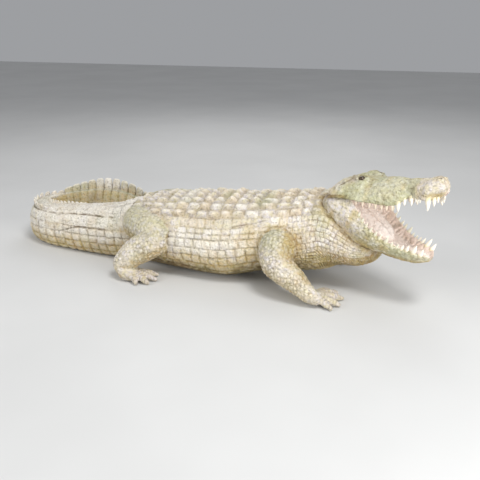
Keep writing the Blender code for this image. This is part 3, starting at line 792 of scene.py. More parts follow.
def folds(relief, s, size, points):
    """Long folds of the skin along the flank and tail, wrinkles of the throat, and the nape's knobs."""
    flank_mm = SKIN.width(s, 1)
    wave = lumps(points, 30, seed=41)
    size = size + 0.012 * lumps(points, 12, seed=42)

    def fold(line, start, stop, width, depth, wash=0.9):
        inside = stretch(s, start, start + 18, stop - 18, stop)
        away = (size - line) * flank_mm
        relief.height += crease(away, width, depth) * inside
        relief.most(groove=wash * bell(away, width) * inside * wear_and_shade(points))

    fold(1.0 + 0.02 * wave, 150, 375, 1.6, 1.2, 0.5)
    fold(1.34 + 0.01 * wave, 190, 330, 0.9, 0.9, 0.6)
    fold(np.interp(s, (150, 225), (1.04, 1.16)), 150, 225, 1.1, 1.5)
    fold(1.06 + 0.02 * wave, 415, 640, 1.5, 2.4, 1.6)
    fold(1.33 + 0.14 * fade(s, 490, 535), 430, 535, 1.3, 2.2, 1.6)
    throat = (1 - fade(s, *THROAT)) * fade(size, 1.55, 1.8)
    stripe = np.sin(size * flank_mm * 1.25 + 2.5 * wave + 0.6 * lumps(points, 9, seed=43))
    relief.height += throat * (1.0 * stripe - 0.5)
    relief.groove *= 1 - 0.6 * throat
    relief.most(groove=throat * fade(-stripe, 0.2, 0.95), ochre=throat)
    nape = (1 - fade(s, *NAPE)) * (size < 1)
    edge = pebbles(points, 7.5, seed=45)[0]
    relief.height += nape * (1.5 * fade(edge, 0.2, 2.5) - 0.6)
    relief.groove *= 1 - 0.5 * nape
    relief.most(groove=nape * (1 - fade(edge, 0.2, 1.6)))


def roughen(relief, size, points, warp):
    """The uneven surface of the casting, all over the body."""
    rough = 0.35 * lumps(points, 5, seed=8) + 0.3 * lumps(points, 2.4, seed=9)
    relief.height += rough + 0.5 * warp * fade(size, 0.9, 1.2)
    relief.height += 0.5 * (size < 1) * lumps(points, 6.5, seed=10)
    relief.groove = np.clip(relief.groove + 0.3 * fade(-rough, 0.12, 0.5), 0, 1)


def wash_and_shade_body(relief, s, band, points, warp, patch, inside):
    """Broad washes and painted shade: ochre below, green and ochre patches, painted shade under the belly,
    pale tail, and painted shade in ochre and dark wash on the inner wall of its bend.
    """
    size = np.abs(band)
    tail = s >= HIP
    distal = s > JOIN
    low = size + 0.16 * warp + 0.08 * lumps(points, 7, seed=23) - 0.12 * (s < NECK_END)
    # Painted shade under the belly, streaked, in the dark wash.
    streaks = lumps(points * (0.5, 1, 1), 6, seed=27)
    under = fade(size, *BELLY_SHADE) * fade(s, 60, 120) * ~tail
    low_patch = fade(patch + 0.5 * lumps(points, 9, seed=24), -0.2, 0.6)
    high_patch = fade(lumps(points, 30, seed=22), 0.25, 0.7)
    tail_end = fade(s, *TAIL_END)
    relief.most(ochre=fade(low, *OCHRE_SHADE))
    relief.most(ochre=0.7 * fade(patch, 0.1, 0.6) * fade(size, 0.9, 1.2))
    # Ochre at the tail's end; on the inner wall of the bend the ochre is painted shade.
    relief.most(ochre=np.maximum(tail_end * fade(size, 0.9, 1.4), 0.9 * inside))
    relief.most(green=np.maximum(0.8 * fade(size, 1.6, 1.9) * low_patch, 0.6 * high_patch))
    relief.most(green=tail_end * (1 - fade(size, 1.0, 1.5)) * 0.8)
    relief.most(pale=np.maximum(bell(size - 1.45, 0.12) * tail * (1 - distal), 0.45 * distal))
    relief.most(pale=bell(size - 1.42, 0.13) * stretch(s, *BRIGHT_FLANK))
    relief.most(pale=tail * (1 - fade(size, 1.25, 1.4)) * (1 - fade(s, 620, 700)))
    # No pale paint on the inner wall of the bend, which holds painted shade.
    relief.pale *= 1 - inside
    # Painted shade under the belly.
    relief.most(groove=under * (0.9 + 0.4 * patch + 0.4 * streaks))
    # Painted shade on the inner wall of the bend: dark patches just past the tall plates' start, and a
    # light dark wash along the bend.
    bend_wall_shade = (band > 0) * bell(s - JOIN - 45, 26) * fade(size, 0.4, 1.0) * fade(patch, -0.5, 0.2)
    bend = stretch(s, *TAIL_BEND) * inside
    relief.most(groove=np.maximum(0.6 * bend_wall_shade, bend * (0.1 + 0.3 * patch)))


def meet_limbs(relief, s, size, points, patch):
    """The skin swells to the limbs' roots, with a dark crease round each of them and ochre round the
    forelegs' roots. In front of the forelegs, ochre and dark wash are painted shade, and by the knees,
    ochre is painted shade.
    """
    gap = limb_gap(points, s < LEGS_END)
    fore = s < SHOULDER_END
    # Painted shade in front of the forelegs, in ochre and dark wash, and by the knees, in ochre.
    shaded = bell(gap, 15) * (s < 140) * fade(size, 1.1, 1.35)
    knee = (gap < 40) & (s > 330) & (size > 1.2)
    relief.height += np.where(fore, 2.4, 4.0) * bell(gap, np.where(fore, 4, 9))
    relief.most(groove=np.where(fore, 0.7, 0.3) * bell(gap - 1.2, 1.3))
    relief.most(groove=0.4 * shaded * (1 + 0.5 * patch))
    relief.most(ochre=np.maximum.reduce([0.8 * fore * bell(gap, 5), shaded, knee * bell(gap, 14)]))


def finish_skin(relief, s, size, points, inside):
    """The tail keeps inside its crests and is dark along the tall plates. Its top and the neck's
    sides are finely scaled."""
    relief.height -= CREST_ROOM * fade(s, 480, 560)
    edge = pebbles(points * (0.55, 1, 1), 4.6, seed=26)[0]
    top = (s >= HIP) * (1 - fade(size, 1.28, 1.36)) * (1 - inside)
    skin = np.maximum(top, 0.6 * (s < NECK_END) * (size > 1))
    relief.height += 0.5 * skin * fade(edge, 0.2, 1.5)
    ledge = (s > JOIN) * (1 - fade(size, 0.5, 1.15))
    relief.most(groove=0.32 * skin * (1 - fade(edge, 0.1, 1.0)) * wear_and_shade(points))
    relief.most(groove=0.4 * ledge)
    relief.pale *= 1 - ledge


def body_relief(s, band, points):
    relief = Relief(len(s))
    size = np.abs(band)
    warp = lumps(points, 24, seed=1)
    patch = lumps(points, 22, seed=21)
    inside = fade(s, *TAIL_INSIDE) * (band > 0) * fade(size, 0.95, 1.05)
    carve_tiles(relief, s, band, points, warp)
    folds(relief, s, size, points)
    roughen(relief, size, points, warp)
    wash_and_shade_body(relief, s, band, points, warp, patch, inside)
    meet_limbs(relief, s, size, points, patch)
    # Painted shade: a dark line on the neck along the lower jaw's edge, with ochre round it.
    jaw_gap = skin_gap(points, s < 150, JAW_LOFT)
    relief.most(groove=0.95 * bell(jaw_gap, 4.2), ochre=0.8 * bell(jaw_gap, 8.0))
    finish_skin(relief, s, size, points, inside)
    relief.groove = np.clip(relief.groove, 0, 1)
    return relief


def skin_gap(points, where, loft):
    """Distance from a loft's skin, where asked, and far away elsewhere."""
    gap = np.full(len(points), FAR)
    grid = loft.grid[::2, ::2].reshape(-1, 3)
    tree = KDTree(len(grid))
    for k, point in enumerate(grid):
        tree.insert(point, k)
    tree.balance()
    gap[where] = [tree.find(point)[2] for point in points[where]]
    return gap


def limb_gap(points, where):
    """Distance from the upper limbs' skins, where asked, and far away elsewhere."""
    gap = np.full(len(points), FAR)
    near = points[where]
    best = np.full(len(near), FAR)
    for path in (FORELEG[:6], THIGH):
        for side in (-1, 1):
            table = np.array(path, float) * (1, -side, 1, 1, 1)
            if path is THIGH and side > 0:
                table[:, 2] += FAR_THIGH_LIFT * np.linspace(0, 1, len(table))
            for a, b in zip(table[:-1], table[1:]):
                along = b[:3] - a[:3]
                t = np.clip((near - a[:3]) @ along / (along @ along), 0, 1)
                away = np.linalg.norm(near - a[:3] - t[:, None] * along, axis=1)
                best = np.minimum(best, away - a[3] - t * (b[3] - a[3]))
    gap[where] = np.maximum(best, 0)
    return gap


def body_piece(name, rows_at, material):
    """A stretch of the body, with its lines closer together on the back than under the belly."""
    back, flank, belly = (np.linspace(k, k + 1, lines) for k, lines in enumerate(BODY_LINES))
    half = np.concatenate([back[:-1], flank[:-1], belly])
    bands = np.concatenate([half, -half[-2:0:-1]])
    s, band = spread_out(rows_at, bands)
    relief = body_relief(s, band, SKIN.at(s, band))
    points = SKIN.at(s, band, relief.height)
    add_skin(name, (len(rows_at), len(bands)), points, material, relief, flat_ends=True)


def ball(segments, rings, radius):
    """A sphere on the origin, as points and faces."""
    bm = bmesh.new()
    bmesh.ops.create_uvsphere(bm, u_segments=segments, v_segments=rings, radius=radius)
    points = np.array([v.co for v in bm.verts])
    faces = sorted(tuple(v.index for v in f.verts) for f in bm.faces)
    bm.free()
    return points, faces


def blade(size, roundness, lean, slope, taper):
    """A rounded blade on its base, as points, faces and each point's level. Size is half length,
    half width and height."""

    def power(x, p):
        return np.sign(x) * np.abs(x) ** p

    points, faces = ball(20, 14, 1)
    flat = np.maximum(np.hypot(points[:, 0], points[:, 1]), 1e-9)
    ring = power(flat, roundness)
    up = (power(points[:, 2], roundness) + 1) / 2
    x = size[0] * ring * power(points[:, 0] / flat, 0.6) * (1 - taper * up**4)
    y = size[1] * ring * power(points[:, 1] / flat, 0.8) * (1 - 0.6 * up)
    z = up * (size[2] + BLADE_SINK) - BLADE_SINK + slope * x * up
    return np.stack([x + lean * z, y, z], axis=1), faces, up


def plate_height(share):
    first, last = PLATE_WAVE
    return PLATE_HEIGHT * math.sin(math.pi * min(first + share, last))


def blade_rows():
    """Every blade of the crests: place, band, size, roundness, lean, slope and taper."""
    rows = []
    for k in range(PLATE_COUNT):
        ends = plate_height(k / PLATE_COUNT), plate_height((k + 1) / PLATE_COUNT)
        size = (0.53 * PLATE_STEP, 3.8 - 1.4 * k / PLATE_COUNT, plate_height((k + 0.5) / PLATE_COUNT))
        slope = 0.9 * ((ends[1] - ends[0]) / PLATE_STEP)
        rows.append((JOIN + (k + 0.5) * PLATE_STEP, 0.0, size, 0.46, 0.06, slope, 0.22))
    for start, stop, pitch, tallest, band, half_length, half_width in (OUTER_SPINES, INNER_SPINES):
        spines = round((stop - start) / pitch)
        for k in range(spines):
            share = (k + 0.5) / spines
            height = 1.5 + tallest * math.sin(math.pi * share)
            size = (half_length, half_width, height)
            rows.append((start + (stop - start) * share, band, size, 0.6, 0.5, 0.0, 0.4))
    return rows


def crest_blades(material):
    """Blades of the crests: one row of tall plates, and two rows of small ones round the bend."""
    points, faces, number, level, reach = [], [], [], [], []
    for k, (s, band, size, roundness, lean, slope, taper) in enumerate(blade_rows()):
        shape, shape_faces, up = blade(size, roundness, lean, slope, taper)
        at = SKIN.at([s], [band])[0]
        ahead = unit(SKIN.at([s + 2], [band])[0] - SKIN.at([s - 2], [band])[0])
        outward = unit(SKIN.at([s], [band], 1.0)[0] - at)
        rise = unit(outward + (0, 0, 1.0))
        across = unit(np.cross(rise, ahead))
        faces += [tuple(v + k * len(shape) for v in f) for f in shape_faces]
        points.append(at + shape[:, :1] * ahead + shape[:, 1:2] * across + shape[:, 2:] * rise)
        number.append(np.full(len(shape), k))
        level.append(up)
        reach.append(np.abs(shape[:, 0] - lean * shape[:, 2]) / size[0])
    points = np.vstack(points)
    number, level, reach = (np.concatenate(rows) for rows in (number, level, reach))
    plate = number < PLATE_COUNT
    mottled = lumps(points, 9, seed=25)
    between = 0.75 * fade(reach, 0.8, 0.98) * (1 - fade(level, 0.8, 0.95))
    lit = bell(number - LIT_PLATE, 1.6) * plate
    relief = Relief(len(points))
    relief.tint = draw(number, seed=23)
    relief.keel = fade(level, 0.75, 1.0)
    relief.groove = np.where(plate, between, 0.5 * (1 - fade(level, 0.2, 0.6)))
    relief.most(pale=np.maximum(0.9 * lit, 0.7 * ~plate))
    relief.most(pale=0.5 * plate * fade(level + 0.3 * mottled, 0.6, 0.95))
    relief.green = 0.6 * (1 - lit) * plate * fade(level + 0.3 * mottled, 0.1, 0.5)
    relief.ochre = 0.8 * plate * (1 - fade(level + 0.35 * mottled, 0.1, 0.5))
    points += (0.3 * lumps(points, 3, seed=24))[:, None]
    add_piece("tail_crest", points, faces, material, relief)


def paint_skull(relief, p, rough, outside):
    """The snout is cream with ochre sides, the crown and cheeks green, and the palate flesh."""
    d, up = p[:, 0], p[:, 2]
    to_snout = 1 - fade(d + 8 * lumps(p, 9, seed=55), 112, 126)
    from_neck = fade(d + 8 * lumps(p, 12, seed=56), -4, 26)
    snout_side = fade(d, 128, 142) * (1 - fade(up, 12, 18))
    relief.groove = outside * fade(-rough, 0.1, 0.9) * 0.45
    relief.most(groove=outside * 0.16 * fade(d, 118, 130) * (1 + lumps(p, 7, seed=59)))
    relief.keel = outside * fade(rough, 0.4, 1.2) * 0.45
    relief.tint = np.clip(0.5 + 0.5 * lumps(p, 13, seed=54), 0, 1)
    relief.green = outside * to_snout * from_neck
    relief.pale = outside * (0.12 * fade(d, 124, 140) + 0.1 * fade(lumps(p, 16, seed=57), 0.1, 0.6))
    relief.ochre = outside * np.maximum(snout_side, 0.35 * fade(lumps(p, 11, seed=58), 0.1, 0.6))
    relief.flesh = 1 - outside


def carve_eyes(relief, d, side, up):
    """Brows, eyelids, the dark corner behind each eye and the slit of the ear."""
    brow = np.hypot((d - BROW_AT[0]) / BROW_SIZE[0], (side - BROW_AT[1]) / BROW_SIZE[1])
    relief.height += np.where(up > 22, BROW_SIZE[2] * np.sqrt(np.clip(1 - brow**2, 0, 1)), 0)
    eye = np.hypot((d - EYE_AT[0]) * 0.85, (up - EYE_AT[2]) * 1.45) + 30 * (side < 15)
    relief.height += crease(eye, 4.0, 1.0) + 0.9 * bell(eye - 5.6, 1.3)
    relief.most(groove=0.9 - 0.9 * fade(eye, 4.0, 5.4))
    behind = bell(np.hypot((d - 30) / 9, (up - 33.5) / 4.5), 1) * (side > 15)
    relief.most(groove=0.5 * behind)
    relief.green *= 1 - 0.8 * behind
    ear = np.abs((up - 30) - 0.55 * (d - 19))
    on_ear = stretch(d, *EAR_SLIT) * (side > 20)
    relief.height += crease(ear, 1.1, 2.0) * on_ear
    relief.most(groove=bell(ear, 1.3) * on_ear)


def carve_nostrils(relief, d, side, up):
    nostril = np.hypot(d - NOSTRIL_AT[0], side - NOSTRIL_AT[1])
    hollow = 1.6 * bell(nostril - 3.4, 1.3) - 2.6 * bell(nostril, 1.7)
    relief.height += np.where(up > 20, hollow, 0)
    relief.most(groove=np.where(up > 20, bell(nostril, 1.9), 0))


def skull_piece(material):
    along, around = loft_grid(SKULL_LOFT, SKULL_GRID)
    base = SKULL_LOFT.at(along, around)
    p = local(base, SKULL_FRAME)
    d, side, up = p[:, 0], np.abs(p[:, 1]), p[:, 2]
    folded = np.minimum(around, 1 - around)
    outside = 1 - fade(folded, 0.33, 0.36)
    rough = 0.5 * lumps(p, 8, seed=51) + 0.7 * lumps(p, 3.8, seed=52) + 0.45 * lumps(p, 2.2, seed=53)
    relief = Relief(len(base))
    relief.height += outside * rough * np.interp(d, (20, 60, 110), (0.8, 1.0, 0.8))
    paint_skull(relief, p, rough, outside)
    carve_eyes(relief, d, side, up)
    carve_nostrils(relief, d, side, up)
    # The rim at the cheek's rear edge, over the jaw muscle, with painted shadow under it and an ochre line
    # along it.
    relief.height += outside * (1 - fade(d, 30, 60)) * 2.6 * bell(folded - 0.285, 0.028)
    relief.most(groove=0.9 * (1 - fade(d, 22, 34)) * bell(folded - 0.315, 0.035))
    relief.most(ochre=(1 - fade(d, 22, 36)) * bell(folded - 0.27, 0.03))
    # Painted shade: a dark line along the lower jaw's edge.
    jaw_gap = skin_gap(base, (d < 60) & (up < 16), JAW_LOFT)
    relief.most(groove=outside * 0.9 * bell(jaw_gap, 3.5))
    relief.most(groove=0.6 * bell(folded - 0.325, 0.012))
    relief.groove *= np.where(folded > 0.345, 0.4, 1.0)
    points = SKULL_LOFT.at(along, around, relief.height)
    add_skin("upper_head", SKULL_GRID, points, material, relief)


def jaw_piece(material):
    along, around = loft_grid(JAW_LOFT, JAW_GRID)
    base = JAW_LOFT.at(along, around)
    p = local(base, JAW_FRAME)
    d = p[:, 0]
    folded = np.minimum(around, 1 - around)
    outside = fade(folded, 0.19, 0.22)
    within = 1 - outside
    inner_wall = within * fade(folded, 0.07, 0.11)
    scaly = outside * fade(d, 30, 60)
    rough = 0.5 * lumps(p, 8, seed=61) + 0.4 * lumps(p, 4, seed=62) + 0.2 * lumps(p, 2, seed=63)
    edge = pebbles(p * (0.7, 1, 1), 4.2, seed=64)[0]
    ribs = np.sin(d * 0.75 + 3.5 * lumps(p, 7, seed=67))
    patch = lumps(p, 14, seed=68)
    skull_gap = skin_gap(base, (d < 50) & (p[:, 2] > -14), SKULL_LOFT)
    relief = Relief(len(base))
    relief.tint = np.clip(0.5 + 0.5 * lumps(p, 12, seed=66), 0, 1)
    relief.height += outside * rough * 0.8
    relief.height += scaly * 0.35 * fade(edge, 0.1, 1.2)
    relief.height += inner_wall * 0.5 * ribs * (0.4 + 0.6 * relief.tint)
    relief.groove = outside * 0.6 * fade(-rough, 0.2, 0.8)
    relief.most(groove=outside * 0.45 * scaly * (1 - fade(edge, 0.1, 0.9)))
    relief.most(groove=inner_wall * (0.22 + 0.3 * fade(-ribs, 0.1, 0.9)))
    # Painted shade: darker towards the jaw's rear end and along the skull's edge.
    relief.most(groove=outside * np.maximum(0.5 * fade(-d, -10, 6), bell(skull_gap, 4.5)))
    relief.keel = outside * fade(rough, 0.2, 0.7)
    relief.green = outside * 0.8 * fade(d + 10 * patch, 40, 80)
    relief.ochre = outside * np.maximum(fade(folded, 0.34, 0.43), 0.6 * fade(patch, 0.1, 0.6))
    relief.pale = outside * 0.4 * fade(rough, 0, 0.5)
    relief.most(pale=0.7 * within * (1 - fade(folded, 0.09, 0.13)))
    relief.flesh = within
    points = JAW_LOFT.at(along, around, relief.height)
    add_skin("lower_jaw", JAW_GRID, points, material, relief)


def tongue_piece(material):
    loft = Loft(head_sections(TONGUE, tongue_half, JAW_FRAME), TONGUE_GRID[0])
    along, around = loft_grid(loft, TONGUE_GRID)
    base = loft.at(along, around)
    relief = Relief(len(base))
    relief.height = 0.5 * lumps(base, 7, seed=71) + 0.2 * lumps(base, 2.5, seed=72)
    relief.most(flesh=1.0, pale=1.0)
    points = loft.at(along, around, relief.height)
    add_skin("tongue", TONGUE_GRID, points, material, relief)


def tooth_shape(length, radius, rings=7, sides=10):
    """A tooth on the origin: a cone that bends back a little and ends in a round point."""
    points = []
    for k in range(rings):
        share = k / (rings - 1)
        r = radius * (1 - share**1.6) ** 0.8 + 0.15
        bend = -0.10 * length * share**2
        for j in range(sides):
            a = 2 * math.pi * j / sides
            points.append((r * math.cos(a) + bend, 0.85 * r * math.sin(a), length * share))
    ring = np.arange(rings * sides).reshape(rings, sides)
    faces = ring_faces(rings, sides)[: (rings - 1) * sides]
    faces += [tuple(ring[0, ::-1]), tuple(ring[-1])]
    return np.array(points), faces


def teeth_piece(name, teeth, sections, columns, frame_matrix, up, root_share, dull_end, material):
    """A jaw's teeth, in a row along the lip on both sides. The columns of its sections give the
    lip's half width and height, up is 1 or -1, and the teeth nearer than dull_end are dull."""
    rows = np.array(sections, float)
    points, faces, tip, dull, start = [], [], [], [], 0
    for at, length in teeth:
        across = np.interp(at, rows[:, 0], rows[:, columns[0]]) * root_share
        level = np.interp(at, rows[:, 0], rows[:, columns[1]])
        whole = length + TOOTH_SINK
        for side in (-1, 1):
            root = np.array((at, side * across, level - up * TOOTH_SINK))
            z = unit(np.array((0.12, side * 0.14, up)))
            x = unit(np.array((1.0, 0, 0)) - z * z[0])
            y = np.cross(z, x)
            shape, shape_faces = tooth_shape(whole, whole * TOOTH_SLENDERNESS + 0.25)
            faces += [tuple(int(v) + start for v in f) for f in shape_faces]
            points.append(root + shape[:, :1] * x + shape[:, 1:2] * y + shape[:, 2:] * z)
            tip.append(shape[:, 2] / whole)
            dull.append(np.full(len(shape), float(at < dull_end)))
            start += len(shape)
    points = placed([np.vstack(points)], frame_matrix)[0]
    relief = Relief(len(points))
    relief.keel = np.concatenate(tip)
    relief.green = np.concatenate(dull) * (up > 0)
    relief.flesh = np.concatenate(dull) * (up < 0)
    add_piece(name, points, faces, material, relief)


def eye_piece(name, side, sunk, material):
    points, faces = ball(32, 20, EYE_RADIUS)
    at = np.array((EYE_AT[0], side * (EYE_AT[1] - sunk), EYE_AT[2] - sunk))
    points = placed([points + at], SKULL_FRAME)[0]
    add_piece(name, points, faces, material)


def side_of(path, side):
    return [(x, -y * side, *rest) for x, y, *rest in path]


def toe_path(start, tip):
    """A toe from the palm to its tip on the ground, a little arched."""
    sx, sy, sz = start
    path = []
    for k, radius in enumerate(TOE_RADII):
        share = k / (len(TOE_RADII) - 1)
        x = sx + (tip[0] - sx) * share
        y = sy + (tip[1] - sy) * share
        height = sz * (1 - share) + 1.6 * share + 3.5 * math.sin(math.pi * share)
        path.append((x, y, max(height, radius), radius, radius))
    return path


def joined_lofts(name, lofts, voxel):
    """One skin round several lofts, as points, normals and faces."""
    points, faces, start = [], [], 0
    for loft in lofts:
        points.append(with_ends(loft.at(*loft_grid(loft, LIMB_GRID)), LIMB_GRID[1]))
        faces += [tuple(v + start for v in f) for f in ring_faces(*LIMB_GRID)]
        start += len(points[-1])
    mesh = bpy.data.meshes.new(name)
    mesh.from_pydata(np.vstack(points).tolist(), [], faces)
    obj = bpy.data.objects.new(name, mesh)
    bpy.context.scene.collection.objects.link(obj)
    remesh = obj.modifiers.new("one_skin", "REMESH")
    remesh.mode = "VOXEL"
    remesh.voxel_size = voxel
    soften = obj.modifiers.new("soften", "SMOOTH")
    soften.factor = 0.5
    soften.iterations = 10
    depsgraph = bpy.context.evaluated_depsgraph_get()
    done = bpy.data.meshes.new_from_object(obj.evaluated_get(depsgraph))
    bpy.data.objects.remove(obj)
    points, normals = np.empty((2, len(done.vertices) * 3))
    done.vertices.foreach_get("co", points)
    done.vertices.foreach_get("normal", normals)
    faces = [tuple(f.vertices) for f in done.polygons]
    bpy.data.meshes.remove(done)
    return points.reshape(-1, 3), normals.reshape(-1, 3), faces


def limb_paths(kind, side):
    """A leg's limbs, with the left thigh lifted and its shank let down again to the ground."""
    if kind == "fore":
        return [FORELEG]
    lift = FAR_THIGH_LIFT if side > 0 else 0.0
    thigh = [(x, y, z + lift * k / (len(THIGH) - 1), *r) for k, (x, y, z, *r) in enumerate(THIGH)]
    shank = [(x, y, z + lift * max(0, 1 - k / 3), *r) for k, (x, y, z, *r) in enumerate(SHANK)]
    return [thigh, shank]


def leg_relief(kind, points, normals, palm):
    """Irregular scales down to the wrist or ankle, and plain toes with faint rings."""
    relief = Relief(len(points))
    height = points[:, 2]
    in_foot = fade(-height, -21, -13) * fade(points[:, 0] - palm[0], -16, -2)
    scaly = 1 - in_foot
    edge, middle, number = pebbles(points * (1, 1, 0.85), 4.9, seed=81)
    bold = 0.55 + 0.45 * fade(lumps(points, 26, seed=84), -0.5, 0.3)
    rings = np.sin(np.linalg.norm((points - palm)[:, :2], axis=1) * 1.5)
    patch = lumps(points, 20, seed=87)
    # Painted shade: ochre on the legs' undersides.
    under = fade(-normals[:, 2], -0.25, 0.4)
    low_patch = 0.7 * fade(-patch, 0.1, 0.5) * (1 - fade(height, 34, 52))
    relief.height = scaly * (bold * (fade(edge, 0.1, 1.9) + 0.4 * (1 - middle)) - 0.5)
    relief.height += scaly * 0.25 * lumps(points, 3, seed=86)
    relief.height += in_foot * (0.18 * rings + 0.2 * lumps(points, 3, seed=85))
    relief.groove = scaly * bold * seams(edge, 0.75, 1.1, 0.25, 2.4) * wear_and_shade(points)
    relief.most(groove=in_foot * (0.22 + 0.3 * fade(-rings, 0.3, 1.0)))
    relief.keel = 0.7 * scaly * bold * fade(0.55 - middle, 0, 0.4) * (0.3 + 0.7 * number)
    relief.tint = 0.25 + 0.45 * number
    relief.pale = 0.35 * fade(-height, -62, -40) * scaly
    relief.green = scaly * np.maximum(fade(height + 8 * patch, 56, 88) * 0.6, 0.4 * fade(patch, 0.2, 0.6))
    # Ochre: painted shade on the undersides, and patches low on the legs.
    relief.ochre = scaly * np.maximum(under, low_patch)
    # Painted shade in ochre and dark wash on the forward faces of the forelegs' upper parts.
    if kind == "fore":
        front = scaly * fade(normals[:, 0], 0.15, 0.7) * fade(height, 22, 40)
        relief.most(ochre=front, groove=0.25 * front)
    return relief


def leg_piece(kind, side, material):
    """A leg and its foot in one skin."""
    foot, tips = (FOREFOOT_AT, FORE_TOES) if kind == "fore" else (HINDFOOT_AT, HIND_TOES)
    lofts = [Loft(tube_sections(side_of(path, side)), *LIMB_LOFT) for path in limb_paths(kind, side)]
    for tip in tips:
        lofts.append(Loft(tube_sections(side_of(toe_path(foot, tip), side), 8), *TOE_LOFT))
    name = f"{'left' if side > 0 else 'right'}_{kind}leg"
    points, normals, faces = joined_lofts(name, lofts, LEG_VOXEL)
    on_right = points * (1, -side, 1)
    relief = leg_relief(kind, on_right, normals, foot)
    points = points + normals * relief.height[:, None]
    add_piece(name, points, faces, material, relief)


class Paint:
    """Builds a material's node tree."""

    def __init__(self, name):
        self.material = bpy.data.materials.new(name)
        self.material.use_nodes = True
        self.tree = self.material.node_tree
        self.shader = self.tree.nodes["Principled BSDF"]
        self.place = self.node("ShaderNodeTexCoord").outputs["Object"]

    def node(self, kind, **settings):
        node = self.tree.nodes.new(kind)
        for key, value in settings.items():
            setattr(node, key, value)
        return node

    def feed(self, node, inputs):
        """Sets or links a node's inputs, which are given by name or number."""
        for key, value in inputs.items():
            if isinstance(value, bpy.types.NodeSocket):
                self.tree.links.new(value, node.inputs[key])
            else:
                node.inputs[key].default_value = value

    def field(self, name):
        return self.node("ShaderNodeAttribute", attribute_name=name).outputs["Fac"]

    def noise(self, scale, detail=3.0, start=0.3, stop=0.7, shift=0.0):
        node = self.node("ShaderNodeTexNoise")
        moved = self.node("ShaderNodeVectorMath", operation="ADD")
        self.feed(moved, {0: self.place, 1: (shift, shift, shift)})
        self.feed(node, {"Vector": moved.outputs["Vector"], "Scale": scale, "Detail": detail})
        self.feed(node, {"Roughness": 0.55})
        return self.spread(node.outputs["Fac"], start, stop)

    def spread(self, value, start, stop, low=0.0, high=1.0):
        node = self.node("ShaderNodeMapRange", interpolation_type="SMOOTHSTEP")
        self.feed(node, {"Value": value, "From Min": start, "From Max": stop})
        self.feed(node, {"To Min": low, "To Max": high})
        return node.outputs["Result"]

    def math(self, operation, a, b):
        node = self.node("ShaderNodeMath", operation=operation, use_clamp=True)
        self.feed(node, {0: a, 1: b})
        return node.outputs[0]

    def mix(self, a, b, *factors):
        """A mix of two colours by the product of the factors."""
        factor = factors[0]
        for other in factors[1:]:
            factor = self.math("MULTIPLY", factor, other)
        node = self.node("ShaderNodeMix", data_type="RGBA")
        self.feed(node, {"Factor": factor, 6: a, 7: b})
        return node.outputs[2]

    def bump(self, height, distance, strength, below=None):
        node = self.node("ShaderNodeBump")
        self.feed(node, {"Height": height, "Distance": distance, "Strength": strength})
        if below:
            self.feed(node, {"Normal": below})
        return node.outputs["Normal"]

    def finish(self, colour, roughness, **inputs):
        self.feed(self.shader, {"Base Color": colour, "Roughness": roughness, **inputs})
        return self.material


def shade(red, green, blue):
    """A colour from 0-255 screen values."""

    def linear(c):
        return c / 255 / 12.92 if c <= 10 else ((c / 255 + 0.055) / 1.055) ** 2.4

    return linear(red), linear(green), linear(blue), 1.0


CREAM = shade(228, 217, 194)
MAUVE = shade(198, 188, 182)
WARM = shade(220, 201, 170)
LEAF = shade(186, 188, 150)
OLIVE = shade(150, 146, 88)
LILAC = shade(224, 218, 222)
STRAW = shade(220, 209, 170)
OCHRE = shade(204, 178, 106)
ORANGE = shade(196, 152, 90)
CHALK = shade(250, 245, 234)
# GROOVE and GROOVE_GREEN are the dark wash, in the grooves and as painted shade.
GROOVE = shade(102, 76, 42)
GROOVE_GREEN = shade(98, 86, 46)
FLESH = shade(255, 236, 224)
BLUSH = shade(255, 246, 238)
TAN = shade(214, 186, 154)
IVORY = shade(243, 237, 220)


